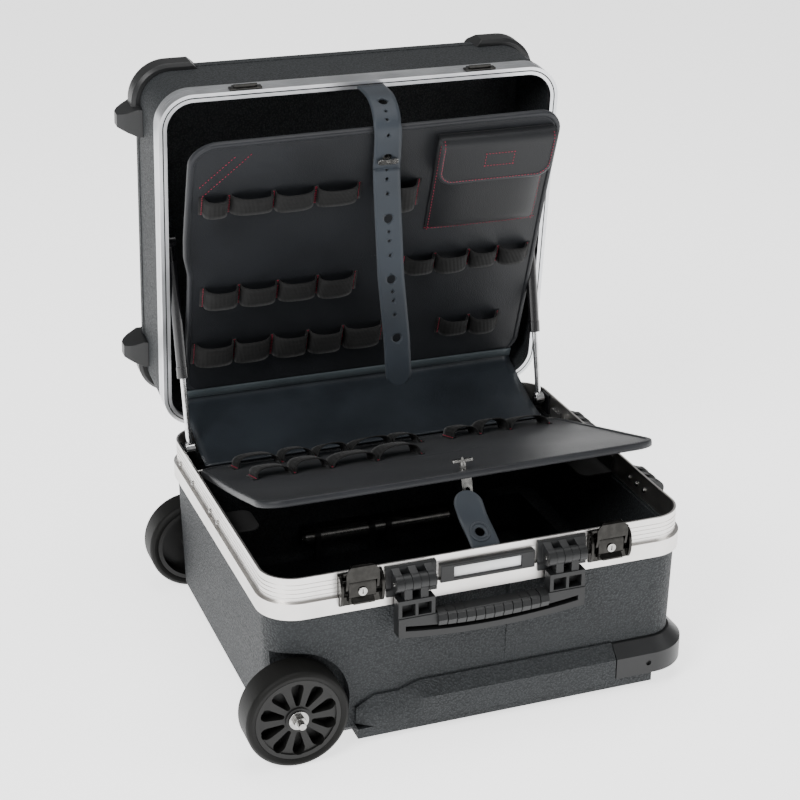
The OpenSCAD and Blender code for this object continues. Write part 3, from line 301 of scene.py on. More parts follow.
def drawn_aluminium(name, turn, dull, clean):
    """Aluminium with die lines, clouded between a dull and a clean colour."""
    finish = Finish(name, clean, 0.3, 1.0)
    line = finish.noise(1.0, 3.0, finish.mapped(die_line_scale, (turn, 0, 0)), 0.7)
    cloud = finish.noise(22, 3.0)
    finish.set("Base Color", finish.mix(cloud.between(0.3, 0.75), dull, clean))
    finish.set("Roughness", 0.2 + 0.16 * line + 0.1 * cloud)
    return finish.emboss(line, 0.00003)


def plated(name, colour, roughness):
    """Plated metal with a faint haze in its gloss."""
    finish = Finish(name, colour, roughness, 1.0)
    haze = finish.noise(160, 4.0)
    finish.tint(haze.between(0.35, 0.7), colour, 0.8, 1.1)
    finish.set("Roughness", roughness + 0.14 * haze)
    return finish.emboss(finish.noise(700, 2.0), 0.00001)


base_aluminium = drawn_aluminium(
    "base_aluminium", 0, dull=(0.66, 0.64, 0.62), clean=(0.78, 0.76, 0.735))
lid_aluminium = drawn_aluminium(
    "lid_aluminium", lid_turn, dull=(0.6, 0.61, 0.63), clean=(0.75, 0.76, 0.78))
dark_plating = plated("dark_plating", (0.034, 0.033, 0.031), 0.12)
bright_steel = plated("bright_steel", (0.4, 0.395, 0.38), 0.16)
rod_chrome = plated("rod_chrome", (0.8, 0.8, 0.81), 0.06)
strut_paint = Finish("strut_paint", (0.006, 0.006, 0.007), 0.2,
                     Coat_Weight=0.5, Coat_Roughness=0.06)
strut_paint.set("Roughness", 0.14 + 0.12 * strut_paint.noise(60, 3.0))

# %% [markdown]
# ## Leatherette, elastic and thread
# The pallets are covered in black leatherette: small soft cells with a slight
# sheen. The elastic loops are woven, and their ribs follow the band wherever it
# goes, so that pattern reads the band's own UV map, which is laid out in metres.
# Object coordinates would cut straight through a loop and smear on its sides.

# %% Leatherette, elastic and thread
def grained(name, colour, roughness, cells=900, depth=0.00016):
    """Leatherette with so many cells of grain to a metre, and finer creases."""
    finish = Finish(name, colour, roughness, Sheen_Weight=0.04, Sheen_Roughness=0.5,
                    Specular_IOR_Level=0.3)
    grain = finish.cells(cells)
    crease = finish.noise(240, 4.0)
    patch = finish.noise(11, 3.0)
    finish.tint(patch.between(0.3, 0.7), colour, 0.8, 1.25)
    finish.set("Roughness", roughness - 0.06 + 0.16 * patch)
    return finish.emboss(0.5 * crease - grain, depth)


rib_scale, thread_scale = 65, 45


def woven(name, colour):
    """Ribbed elastic: ribs across the band, and weaker lines along it."""
    finish = Finish(name, colour, 0.8, Sheen_Weight=0.06, Sheen_Roughness=0.4,
                    Specular_IOR_Level=0.25)
    cloth_place = finish.node("ShaderNodeTexCoord", output="UV")
    rib = finish.node("ShaderNodeTexWave", {"bands_direction": "X"},
                      Vector=cloth_place, Scale=rib_scale, Distortion=0.4)
    thread = finish.node("ShaderNodeTexWave", {"bands_direction": "Y"},
                         Vector=cloth_place, Scale=thread_scale, Distortion=0.3)
    weave = rib * 0.7 + thread * 0.3
    finish.tint(weave, colour, 0.45, 1.5)
    finish.set("Roughness", 0.7 + 0.2 * weave)
    return finish.emboss(weave, 0.00025)


def twisted(name, colour):
    """Sewing thread, with a twist that is only a change of tone at this size."""
    finish = Finish(name, colour, 0.6, Specular_IOR_Level=0.3)
    twist = finish.noise(2200, 1.0)
    finish.tint(twist, colour, 0.7, 1.3)
    return finish.emboss(twist, 0.0001)


leatherette = grained("leatherette", (0.0078, 0.0088, 0.0108), 0.4)
pocket_leather = grained("pocket_leather", (0.0045, 0.0052, 0.0065), 0.5)
binding_leather = grained("binding_leather", (0.011, 0.012, 0.0145), 0.45, 800)
strap_leather = grained("strap_leather", (0.022, 0.028, 0.036), 0.5, 1400, 0.00006)
# The spine's leatherette is paler than the pallets': painted sheen for the light along its belly.
spine_leather_painted_sheen = grained("spine_leather_painted_sheen", (0.017, 0.021, 0.026), 0.3)
edging_plastic = moulded("edging_plastic", (0.055, 0.068, 0.075), 0.45)
elastic = woven("elastic", (0.0075, 0.0075, 0.0075))
red_thread = twisted("red_thread", (0.36, 0.014, 0.05))
black_thread = twisted("black_thread", (0.02, 0.022, 0.024))
card_paper = moulded("card_paper", (0.78, 0.79, 0.8), 0.6)

# %% [markdown]
# ## Floor paper
# The ground of such a photograph is almost white and shows only a faint shadow.
# Stronger lamps would whiten it, but they would grey the black case as well. So
# the paper gives off some light of its own.

# %% Floor paper
floor_finish = Finish("floor_paper", (0.95, 0.95, 0.95), 0.8)
floor_finish.set("Emission Color", (1, 1, 1, 1))
floor_finish.set("Emission Strength", 1.8)
floor_finish.set("Roughness", 0.75 + 0.1 * floor_finish.noise(3.0))
floor.data.materials.append(floor_finish.material)
print("finishes:", len(bpy.data.materials))

# %% [markdown]
# ## Softened copies of the rigid parts
# A real moulded or pressed part has no sharp edge: each edge catches a thin line
# of light. A rigid node of the frame is copied, its loose triangles are merged
# back into plain faces, and a Bevel modifier rounds what is left. The width is
# chosen by how the part is made: large on mouldings, small on pressed metal. A
# Weighted Normal modifier then lets the large faces decide the shading, so that
# they stay flat up to their rounded edges.

# %% Softened copies
merge_distance, sliver_length = 2e-5, 5e-5
flat_angle, sharp_angle = math.radians(0.1), math.radians(32)


def softened(node, body, finish, edge):
    """A copy of a node with its edges rounded by so many millimetres, in its place."""
    mesh = bpy.data.meshes.new(node + "_soft")
    shape = bmesh.new()
    shape.from_mesh(frame["nodes"][node].data)
    bmesh.ops.remove_doubles(shape, verts=shape.verts, dist=merge_distance)
    bmesh.ops.dissolve_limit(shape, angle_limit=flat_angle,
                             verts=shape.verts, edges=shape.edges)
    bmesh.ops.dissolve_degenerate(shape, dist=sliver_length, edges=shape.edges)
    for face in shape.faces:
        face.smooth = True
    shape.to_mesh(mesh)
    shape.free()
    mesh.materials.clear()
    mesh.materials.append(finish.material)
    piece = bpy.data.objects.new(node + "_soft", mesh)
    bpy.context.scene.collection.objects.link(piece)
    bevel = piece.modifiers.new("edges", "BEVEL")
    bevel.width, bevel.segments = edge * MM, 2
    bevel.limit_method, bevel.angle_limit = "ANGLE", sharp_angle
    bevel.harden_normals = True
    bevel.use_clamp_overlap = True
    weighted = piece.modifiers.new("shading", "WEIGHTED_NORMAL")
    weighted.weight, weighted.keep_sharp = 90, True
    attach(piece, body)
    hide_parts(node)


# %% Which finish and how round an edge each node gets
node_body = {node: body for body, nodes in
             frame["record"]["behaviour"]["bodies"].items() for node in nodes}
node_slot = {row["node"]: row["material_slot"] for row in frame["record"]["subparts"]}
slot_finish = {
    "shell": (shell_plastic, 1.4), "trim": (trim_plastic, 0.8), "frame": (base_aluminium, 0.3),
    "latch": (dark_plating, 0.35), "steel": (bright_steel, 0.3), "rubber": (black_rubber, 0.5),
    "tyre": (tyre_rubber, 0.8), "wheel": (wheel_plastic, 0.7), "strut": (strut_paint, 0.5),
    "card": (card_paper, 0.1)}
own_finish = {
    "lid_frame": (lid_aluminium, 0.4), "hinge_leaves_lid": (lid_aluminium, 0.25),
    "lid_bumpers_left": (trim_plastic, 1.8), "lid_bumpers_right": (trim_plastic, 1.8),
    "trolley_grip": (trim_plastic, 1.6), "base_pallet_seats": (gusset_plastic, 0.4),
    "strut_rod_left": (rod_chrome, 0.4), "strut_rod_right": (rod_chrome, 0.4),
    "front_handle": (trim_plastic, 1.0), "side_handle": (trim_plastic, 1.0)}
sewn = {"base_pallet_board", "base_pallet_loops", "base_strap", "lid_pallet_board",
        "lid_pallet_loops", "lid_pocket", "lid_pocket_flap", "lid_strap", "pallet_flap"}
for node in frame["nodes"]:
    if node not in sewn:
        finish, edge = own_finish.get(node) or slot_finish[node_slot[node]]
        softened(node, node_body[node], finish, edge)
print("softened", len(frame["nodes"]) - len(sewn), "rigid nodes")

# %% [markdown]
# ## Drawing on the pallets
# Both pallets hang on rods, and each has its own slope. A place on one is given
# the way a saddler would mark it: across, up from the rod, and out of the face.
# The class turns such places into places in the room.

# %% Pallet places
class Pallet:
    """Places on a pallet in millimetres: across, up from its rod, out of its face."""

    def __init__(self, rod, out, climb):
        self.rod, self.out = Vector(rod) / MM, Vector(out).normalized()
        self.across = Vector((1, 0, 0))
        self.up = climb * self.out.cross(self.across)

    def at(self, x, u, n):
        return self.rod + self.across * x + self.up * u + self.out * n


lid_pallet = Pallet(joints["lid_pallet_hinge"]["pos_m"],
                    joints["lid_turnlock_turn"]["axis"], climb=1)
base_pallet = Pallet(joints["base_pallet_hinge"]["pos_m"],
                     joints["base_turnlock_turn"]["axis"], climb=-1)
print("lid pallet climbs", lid_pallet.up, "base pallet", base_pallet.up)

# %% Pieces
def new_piece(name, points, faces, finish, uvs=None):
    """A mesh object from points in millimetres, with its faces turned outwards."""
    mesh = bpy.data.meshes.new(name)
    mesh.from_pydata([Vector(p) * MM for p in points], [], faces)
    if uvs is not None:
        layer = mesh.uv_layers.new(name="UVMap")
        for loop in mesh.loops:
            layer.data[loop.index].uv = uvs[loop.vertex_index]
    mesh.materials.append(finish.material)
    shape = bmesh.new()
    shape.from_mesh(mesh)
    bmesh.ops.recalc_face_normals(shape, faces=shape.faces)
    for face in shape.faces:
        face.smooth = True
    shape.to_mesh(mesh)
    shape.free()
    piece = bpy.data.objects.new(name, mesh)
    bpy.context.scene.collection.objects.link(piece)
    return piece


def joined(name, parts):
    """One object from several that share a finish."""
    for part in bpy.context.selected_objects:
        part.select_set(False)
    for part in parts:
        part.select_set(True)
    bpy.context.view_layer.objects.active = parts[0]
    bpy.ops.object.join()
    parts[0].name = parts[0].data.name = name
    return parts[0]


def fitted(piece, body, slot, *nodes):
    """Gives a piece its body and hides the nodes that it stands for; slot is not used."""
    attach(piece, body)
    if nodes:
        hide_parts(*nodes)


def fitted_together(pieces, body, slot, node):
    """Fits several pieces of which the first stands for the node."""
    first, *others = pieces
    fitted(first, body, slot, node)
    for piece in others:
        fitted(piece, body, slot)


# %% [markdown]
# ## Sheets and rims
# Two shapes make nearly all of the sewn work. A cloth is a surface with a real
# thickness: front and back are the same grid moved out and in along its normals,
# and a border joins them. Solidify could add the thickness later, but a mesh that
# is closed from the start also gets its UV map here, in metres. A loft joins
# rings of points, and makes the boards, their bindings and the eyelets.

# %% Cloth
def spaced(count):
    return [i / count for i in range(count + 1)]


def cloth(name, surface, along, across, thick, finish):
    """A closed sheet round surface(s, f), with s and f taken from the two lists."""
    grid = np.array([[surface(s, f) for f in across] for s in along], float)
    down_s, down_f = np.gradient(grid, axis=0), np.gradient(grid, axis=1)
    normal = np.cross(down_s, down_f)
    normal /= np.linalg.norm(normal, axis=2, keepdims=True) + 1e-12
    rows, columns = grid.shape[:2]
    run_s = np.vstack([np.zeros((1, columns)), np.cumsum(
        np.linalg.norm(np.diff(grid, axis=0), axis=2), axis=0)])
    run_f = np.hstack([np.zeros((rows, 1)), np.cumsum(
        np.linalg.norm(np.diff(grid, axis=1), axis=2), axis=1)])
    points = np.concatenate([(grid + normal * thick / 2).reshape(-1, 3),
                             (grid - normal * thick / 2).reshape(-1, 3)])
    uvs = np.stack([run_s.ravel(), run_f.ravel()], 1) * MM
    back = rows * columns

    def corner(i, j, side=0):
        return i * columns + j + side * back

    faces = []
    for i in range(rows - 1):
        for j in range(columns - 1):
            quad = [corner(i, j), corner(i + 1, j), corner(i + 1, j + 1), corner(i, j + 1)]
            faces += [quad, [v + back for v in reversed(quad)]]
    border = ([(i, 0) for i in range(rows)] + [(rows - 1, j) for j in range(1, columns)]
              + [(i, columns - 1) for i in range(rows - 2, -1, -1)]
              + [(0, j) for j in range(columns - 2, 0, -1)])
    for a, b in zip(border, border[1:] + border[:1]):
        faces.append([corner(*a, 1), corner(*b, 1), corner(*b), corner(*a)])
    return new_piece(name, points, faces, finish, np.concatenate([uvs, uvs]))


# %% Loft and outline
def loft(name, rings, finish, close_ends=False):
    """Closed rings of points, each joined to the next; the last meets the first
    unless the ends are closed with a face."""
    count = len(rings[0])
    points = [p for ring in rings for p in ring]
    following = list(range(1, len(rings))) + ([] if close_ends else [0])
    faces = []
    for a, b in zip(range(len(rings)), following):
        for k in range(count):
            m = (k + 1) % count
            faces.append([a * count + k, a * count + m, b * count + m, b * count + k])
    if close_ends:
        faces += [list(range(count)), [len(points) - count + k for k in range(count)]]
    return new_piece(name, points, faces, finish)


arc_steps = 8


def rounded_outline(x0, x1, u0, u1, radius, inset, side_steps=12):
    """Points round a rectangle, drawn in by inset, counter-clockwise from its
    lower right corner. An inset past the radius leaves almost square corners."""
    reach = max(radius - inset, 0.01)
    shift = inset - (radius - reach)
    arcs = []
    for sx, su, start in ((1, -1, -90), (1, 1, 0), (-1, 1, 90), (-1, -1, 180)):
        cx = (x1 if sx > 0 else x0) - sx * radius - sx * shift
        cu = (u1 if su > 0 else u0) - su * radius - su * shift
        turns = [math.radians(start + 90 * k / arc_steps) for k in range(arc_steps + 1)]
        arcs.append([(cx + reach * math.cos(a), cu + reach * math.sin(a)) for a in turns])
    points = []
    for arc, following in zip(arcs, arcs[1:] + arcs[:1]):
        points += arc
        (xa, ua), (xb, ub) = arc[-1], following[0]
        points += [(xa + (xb - xa) * k / side_steps, ua + (ub - ua) * k / side_steps)
                   for k in range(1, side_steps)]
    return points


# %% [markdown]
# ## Stitches with Geometry Nodes
# A seam is one small shape repeated at an even pitch along a line, which is what
# Geometry Nodes are good at. The tree resamples every curve that comes in, sets
# a stretched bead on each point, turned along the seam, and makes real meshes of
# them. Its lengths are inputs, so that thick and thin seams share the tree. Each
# seam is grown once and kept as a plain mesh, because it has to ride a body.

# %% Tree
class Tree:
    """A Geometry Nodes tree with named inputs."""

    def __init__(self, name, **inputs):
        self.tree = bpy.data.node_groups.new(name, "GeometryNodeTree")
        sockets = self.tree.interface
        sockets.new_socket("Geometry", in_out="INPUT", socket_type="NodeSocketGeometry")
        for label, kind in inputs.items():
            sockets.new_socket(label, in_out="INPUT", socket_type="NodeSocket" + kind)
        sockets.new_socket("Geometry", in_out="OUTPUT", socket_type="NodeSocketGeometry")
        self.inputs = self.tree.nodes.new("NodeGroupInput").outputs

    def node(self, kind, settings=None, **values):
        made = self.tree.nodes.new(kind)
        for label, value in (settings or {}).items():
            setattr(made, label, value)
        for label, value in values.items():
            socket = made.inputs[label.replace("_", " ")]
            if isinstance(value, bpy.types.NodeSocket):
                self.tree.links.new(value, socket)
            else:
                socket.default_value = value
        return made.outputs[0]

    def end(self, instances):
        """Makes real meshes of the instances, in their material, and closes the tree."""
        real = self.node("GeometryNodeRealizeInstances", Geometry=instances)
        smooth = self.node("GeometryNodeSetShadeSmooth", Geometry=real)
        dressed = self.node("GeometryNodeSetMaterial", Geometry=smooth,
                            Material=self.inputs["Finish"])
        sink = self.tree.nodes.new("NodeGroupOutput")
        self.tree.links.new(dressed, sink.inputs["Geometry"])

    def grow(self, name, seed_object, finish, **values):
        """Runs the tree on an object, and returns what grew as a plain mesh object."""
        modifier = seed_object.modifiers.new("grow", "NODES")
        modifier.node_group = self.tree
        ids = {item.name: item.identifier for item in self.tree.interface.items_tree
               if item.in_out == "INPUT"}
        modifier[ids["Finish"]] = finish.material
        for label, value in values.items():
            modifier[ids[label]] = value
        depsgraph = bpy.context.evaluated_depsgraph_get()
        mesh = bpy.data.meshes.new_from_object(seed_object.evaluated_get(depsgraph))
        bpy.data.objects.remove(seed_object)
        mesh.name = name
        grown = bpy.data.objects.new(name, mesh)
        bpy.context.scene.collection.objects.link(grown)
        return grown


# %% Seam
seam = Tree("seam", Pitch="Float", Stitch="Vector", Finish="Material")
seam_points = seam.node("GeometryNodeResampleCurve", {"mode": "LENGTH"},
                        Curve=seam.inputs["Geometry"], Length=seam.inputs["Pitch"])
seam_turn = seam.node("FunctionNodeAlignRotationToVector", {"axis": "X"},
                      Vector=seam.node("GeometryNodeInputTangent"))
seam_bead = seam.node("GeometryNodeMeshIcoSphere", Radius=0.5, Subdivisions=1)
seam.end(seam.node("GeometryNodeInstanceOnPoints", Points=seam_points, Instance=seam_bead,
                   Rotation=seam_turn, Scale=seam.inputs["Stitch"]))


def lines_object(lines, closed):
    """A curve object with a line of straight stretches for each list of points."""
    curve = bpy.data.curves.new("lines", "CURVE")
    curve.dimensions = "3D"
    for line in lines:
        spline = curve.splines.new("POLY")
        spline.points.add(len(line) - 1)
        spline.points.foreach_set("co", [c for p in line for c in (*(Vector(p) * MM), 1)])
        spline.use_cyclic_u = closed
    made = bpy.data.objects.new("lines", curve)
    bpy.context.scene.collection.objects.link(made)
    return made


def stitched(name, lines, finish, pitch, length, thick, closed=False):
    """Stitches along lines, with their pitch, length and thickness in millimetres."""
    return seam.grow(name, lines_object(lines, closed), finish, Pitch=pitch * MM,
                     Stitch=Vector((length, thick, thick)) * MM)


# %% [markdown]
# ## The pallet boards
# Each pallet is a stiff board covered in leatherette, with a bound edge that is
# sewn down all round. The face is drawn as rings that shrink from the outline to
# the middle, so that it can carry a slight unevenness and still meet the binding
# everywhere. The binding is a rim with a rounded section.

# %% Board
board_thick, board_foot, board_radius = 6.0, 5, 30
binding_wide, binding_proud, binding_sides = 7.0, 1.2, 14
seam_inset, seam_high = binding_wide - 1.9, 1.15
board_face = board_thick / 2


def uneven(x, u, seed):
    """The small hills of leatherette over a board, in millimetres."""
    return 0.35 * (math.sin(x / 31 + seed) * math.sin(u / 27 + 2 * seed)
                   + 0.6 * math.sin(x / 13 + u / 17 + 3 * seed))


def flat(x, u):
    return 0.0


def unmoved(x, u):
    return x, u


def board(name, pallet, half_wide, top, seed, bend=flat, spread=unmoved):
    """A board, its binding and its seam. bend moves it out of its plane, and spread
    moves it in its plane."""
    def outline(inset, **steps):
        return rounded_outline(-half_wide, half_wide, board_foot, top, board_radius, inset, **steps)

    def place(x, u, n):
        return pallet.at(*spread(x, u), n + bend(x, u))

    back_insets, first_inset, inner_inset = (60, 3), 3.0, 14
    middle = (top - board_foot) / 2 - 1
    insets = [first_inset, 6.0, 9.0]
    insets += [inner_inset + (middle - inner_inset) * t for t in spaced(12)]
    rings = [[place(x, u, -board_face) for x, u in outline(inset)] for inset in back_insets]
    for inset in insets:
        settled = min(1, (inset - first_inset) / 20)
        rings.append([place(x, u, board_face + uneven(x, u, seed) * settled)
                      for x, u in outline(inset)])
    face = loft(name, rings, leatherette, close_ends=True)

    section = []
    for k in range(binding_sides):
        a = 2 * math.pi * k / binding_sides
        c, s = math.cos(a), math.sin(a)
        section.append((binding_wide / 2 * (1 - math.copysign(abs(c) ** 0.7, c)),
                        (board_face + binding_proud) * math.copysign(abs(s) ** 0.55, s)))
    rim = [[place(x, u, n) for (x, u), (_, n) in zip(ring, section)]
           for ring in zip(*(outline(inset) for inset, _ in section))]
    edge = loft(name + "_binding", rim, binding_leather)
    seam_line = [place(x, u, board_face + seam_high)
                 for x, u in outline(seam_inset, side_steps=40)]
    thread = stitched(name + "_seam", [seam_line], black_thread, 3.4, 2.4, 0.5, closed=True)
    return face, edge, thread


# %% The two boards
lid_board_half, lid_board_top = node_box("lid_pallet_board")[1].x, 389.0
base_board_half, base_board_top = node_box("base_pallet_board")[1].x, 300.0


def lid_spread(x, u):
    """The lid's board is wider on the left above the strut, sits over to the right below,
    and has settled at its upper left corner."""
    side = (x / lid_board_half) ** 5
    above = min(1.0, max(0.0, (u - 190) / 45))
    above = above * above * (3 - 2 * above)
    across = -7.0 * max(0.0, -side) * above + 5.0 * abs(side) * max(0.0, 1 - u / 260)
    settled = (u / lid_board_top) ** 4 * (4.5 - 2.5 * x / lid_board_half)
    return x + across, u - settled


def base_bend(x, u):
    """The lower board has taken a slight twist, with its left edge a little wavy."""
    wave = 0.7 * (1 + math.sin(u / 38)) * max(0, -x / base_board_half) ** 3
    return 0.2 + (1 + x / base_board_half) * (u / base_board_top) * 1.5 + wave


fitted_together(board("lid_board", lid_pallet, lid_board_half, lid_board_top, 1.3,
                      spread=lid_spread), "lid_pallet", "leatherette", "lid_pallet_board")
fitted_together(board("base_board", base_pallet, base_board_half, base_board_top, 2.1,
                      bend=base_bend), "base_pallet", "leatherette", "base_pallet_board")
print("boards: half widths", round(lid_board_half), "and", round(base_board_half), "mm")

# %% [markdown]
# ## Elastic loops
# A row of loops is one elastic band that is sewn down at intervals and left
# slack in between. Where tools have been carried, each slack stretch has taken a
# set: it stands up as a round loop, a little wider at its upper edge. A cloth
# simulation knows nothing of that set, so the band's path is worked out from
# where it is sewn down, and each loop's height and lean are drawn with a fixed
# seed.

# %% A row of loops
band_thick, band_lift = 1.3, 0.1
foot_half, slack_from = 3.2, 1.92
loop_rise, loop_steps = 15, 18
widest_loop = 34


def elastic_row(name, pallet, places, u0, u1, seed, bend=flat):
    """A band between the heights u0 and u1, sewn down at the places across."""
    draw = random.Random(seed)
    sewn_n = board_face + band_thick / 2 + band_lift
    path = [(places[0] - foot_half, 0, 0)]
    for a, b in zip(places, places[1:]):
        height = loop_rise * draw.uniform(0.72, 0.98) * min(1, (b - a) / widest_loop)
        lean, flare = draw.uniform(-0.1, 0.1), draw.uniform(0.04, 0.22)
        left, right = a + slack_from, b - slack_from
        for i in range(loop_steps + 1):
            t = math.pi * (1 - i / loop_steps)
            c, s = math.cos(t), math.sin(t)
            x = (left + right) / 2 + (right - left) / 2 * math.copysign(abs(c) ** 0.72, c)
            path.append((x + lean * s * (b - a), height * abs(s) ** 0.8, flare * s))
    path.append((places[-1] + foot_half, 0, 0))

    def surface(s, f):
        x, n, flare = path[s]
        u = u0 + (u1 - u0) * f
        return pallet.at(x, u + 1.5 * n / loop_rise * (f - 0.5),
                         sewn_n + n * (1 + flare * (2 * f - 1)) + bend(x, u))

    def tack(x, shift=0.0):
        """A line of stitches across the band; shift sets it beside its place."""
        thread_n = sewn_n + band_thick / 2 + band_lift
        return [pallet.at(x + shift, u, thread_n + bend(x, u)) for u in (u0 + 1, u1 - 1)]

    band = cloth(name, surface, range(len(path)), spaced(4), band_thick, elastic)
    tacks = [tack(x, shift) for x in places[1:-1] for shift in (-0.7, 0.7)]
    tacks += [tack(x) for x in (places[0], places[-1])]
    return band, stitched(name + "_tacks", tacks, red_thread, 2.4, 1.9, 0.8)


def rows_of_loops(name, pallet, rows, first_seed, bend=flat):
    pieces = []
    for k, (places, u0, u1) in enumerate(rows):
        pieces += elastic_row(f"{name}_{k}", pallet, places, u0, u1, first_seed + k, bend)
    return pieces


# %% The rows of both pallets
lid_rows = [([-213, -181, -128, -77, -24], 288, 312), ([-204, -160, -112, -62, -14], 150, 178),
            ([-210, -160, -112, -66, -20, 32], 60, 92), ([48, 88, 133, 172, 212], 168, 192),
            ([110, 150, 190], 60, 84), ([15, 51], 270, 308)]
base_rows = [([-195, -139, -97, -54, 1, 38], 20, 50), ([-196, -150, -105, -49, 5], 105, 140),
             ([75, 112, 152, 205], 25, 60)]
fitted_together(rows_of_loops("lid_loops", lid_pallet, lid_rows, 10),
                "lid_pallet", "elastic", "lid_pallet_loops")
fitted_together(rows_of_loops("base_loops", base_pallet, base_rows, 30, base_bend),
                "base_pallet", "elastic", "base_pallet_loops")
print("rows of loops:", len(lid_rows), "and", len(base_rows))

# %% [markdown]
# ## Pocket
# The pocket is one gusseted piece of leatherette: its front stands off the board
# and is drawn in to it at the sides and the foot. The flap falls over its mouth,
# with rounded corners, a bound edge and a red seam. Both are cloths whose surface
# is a formula, because their folds are few and known. The small sewn rectangle on
# the flap is left bare.

# %% Pocket body
px0, px1 = (corner.x for corner in node_box("lid_pocket"))
pu0, pu1, pocket_deep = 231.0, 362.0, 14.0
pocket_gap, seam_lift = 0.8, 0.9


def pocket_front(s, f):
    """s from the foot to the mouth, f from left to right."""
    side = 1 - abs(2 * f - 1) ** 6
    foot = 1 - (1 - min(1, s / 0.16)) ** 3
    hollow = 1 - 0.12 * math.sin(math.pi * f) * s
    x = px0 + (px1 - px0) * f
    u = pu0 + (pu1 - pu0) * s
    n = board_face + pocket_gap + pocket_deep * side * foot * (0.55 + 0.45 * s) * hollow
    return lid_pallet.at(x, u, n)


# The steps lie closer together where the leatherette turns in to the board.
near_edge = (0, 0.01, 0.025, 0.05, 0.08, 0.12)
edge_steps = [*near_edge, *(0.17 + 0.66 * i / 10 for i in range(11)),
              *(1 - v for v in reversed(near_edge))]
near_foot = (0, 0.02, 0.05, 0.09, 0.13, 0.18)
foot_steps = [*near_foot, *(0.18 + 0.82 * i / 12 for i in range(1, 13))]
pocket = cloth("pocket", pocket_front, foot_steps, edge_steps, 1.4, pocket_leather)
fitted(pocket, "lid_pallet", "leatherette", "lid_pocket")

seam_places = [[(s, f) for s in spaced(30)] for f in (0.02, 0.98)]
seam_places.append([(0.02, f) for f in spaced(30)])
pocket_seams = [[pocket_front(*place) + lid_pallet.out * seam_lift for place in line]
                for line in seam_places]
fitted(stitched("pocket_seams", pocket_seams, red_thread, 4.2, 2.5, 0.85),
       "lid_pallet", "leatherette")
print("pocket:", round(px1 - px0), "x", round(pu1 - pu0), "mm")

# %% Pocket flap
flap_long, flap_radius, flap_bend, flap_belly = 52.0, 20.0, 9.0, 0.8
fx0, fx1, flap_top = px0 - 2, px1 + 2, 368.0
flap_back, flap_front = board_face + 1.2, board_face + 17.9
flap_rise = flap_front - flap_back - flap_bend
flap_arc = math.pi / 2 * flap_bend
flap_run = flap_rise + flap_arc + flap_long


def flap_place(x, down, lift=0.0):
    """A place on the flap, down along it: out from the board, round a bend, and down."""
    hanging = down - flap_rise - flap_arc
    if down < flap_rise:
        u, n = flap_top, flap_back + down
    elif hanging < 0:
        a = (down - flap_rise) / flap_bend
        u = flap_top - flap_bend * (1 - math.cos(a))
        n = flap_back + flap_rise + flap_bend * math.sin(a)
    else:
        u, n = flap_top - flap_bend - hanging, flap_front - 0.01 * hanging
    belly = flap_belly * (math.sin(math.pi * (x - fx0) / (fx1 - fx0)) - 1)
    return lid_pallet.at(x, u, n + belly + lift)


def flap_draw_in(down):
    """How far the flap's rounded end draws in from its side."""
    left = flap_run - down
    if left >= flap_radius:
        return 0.0
    return flap_radius - math.sqrt(max(0, flap_radius ** 2 - (flap_radius - left) ** 2))


def flap_surface(s, f):
    down = flap_run * s
    draw_in = flap_draw_in(down)
    return flap_place(fx0 + draw_in + (fx1 - fx0 - 2 * draw_in) * f, down)


round_share = flap_radius / flap_run
almost_the_end = 1 - 0.002
flap_steps = [i / 24 * (1 - round_share) for i in range(24)]
flap_steps += [1 - round_share * (1 - math.sin(math.pi / 2 * i / 10)) for i in range(10)]
flap_steps.append(almost_the_end)
flap = cloth("pocket_flap", flap_surface, flap_steps, edge_steps, 1.6, pocket_leather)
fitted(flap, "pocket_flap", "leatherette", "lid_pocket_flap")
flap_run * MM
print("pocket flap:", round(fx1 - fx0), "x", round(flap_run), "mm")


# %% The flap's binding and seams
def flap_outline(inset, lift, steps=12):
    """Down the left side, round both corners and up the right side."""
    r = flap_radius - inset
    end = flap_run - flap_radius
    half = [(fx0 + inset, end * k / steps) for k in range(steps)]
    half += [(fx0 + flap_radius - r * math.cos(math.pi / 2 * k / steps),
              end + r * math.sin(math.pi / 2 * k / steps)) for k in range(steps + 1)]
    whole = half + [(fx0 + fx1 - x, down) for x, down in reversed(half)]
    return [flap_place(x, down, lift) for x, down in whole]


flap_binding_section = [(2.6 - 3.2 * math.cos(a), 1.5 * math.sin(a))
                        for a in (2 * math.pi * k / 12 for k in range(12))]
binding_lines = [flap_outline(inset, lift) for inset, lift in flap_binding_section]
flap_binding = loft("pocket_flap_binding", [list(ring) for ring in zip(*binding_lines)],
                    binding_leather, close_ends=True)
fitted(flap_binding, "pocket_flap", "leatherette")

patch_x, patch_down, patch_wide, patch_high = 142.0, 42.0, 36.0, 17.0
patch_corners = [(patch_x + i * patch_wide / 2, patch_down + j * patch_high / 2)
                 for i, j in ((-1, -1), (1, -1), (1, 1), (-1, 1))]
flap_lines = [flap_outline(4.2, 1.7)]
flap_lines += [[flap_place(xa + (xb - xa) * t, da + (db - da) * t, 1.0) for t in spaced(12)]
               for (xa, da), (xb, db) in zip(patch_corners, patch_corners[1:] + patch_corners[:1])]
fitted(stitched("pocket_flap_seam", flap_lines, red_thread, 4.0, 2.4, 0.85),
       "pocket_flap", "leatherette")

# %% [markdown]
# ## Red corner seams and the strip at the foot
# Two red lines run across the upper left corner of the lid's pallet, where a
# lining is caught. Along its foot, a plain plastic strip clamps the spine.

# %% Corner seams and strip
corner_ends = ((-216, 326, -178, 363), (-215, 310, -159, 365))
corner_lines = [[lid_pallet.at(xa + (xb - xa) * t, ua + (ub - ua) * t, board_face + 0.7)
                 for t in spaced(20)] for xa, ua, xb, ub in corner_ends]
fitted(stitched("corner_seams", corner_lines, red_thread, 4.2, 2.5, 0.8),
       "lid_pallet", "leatherette")

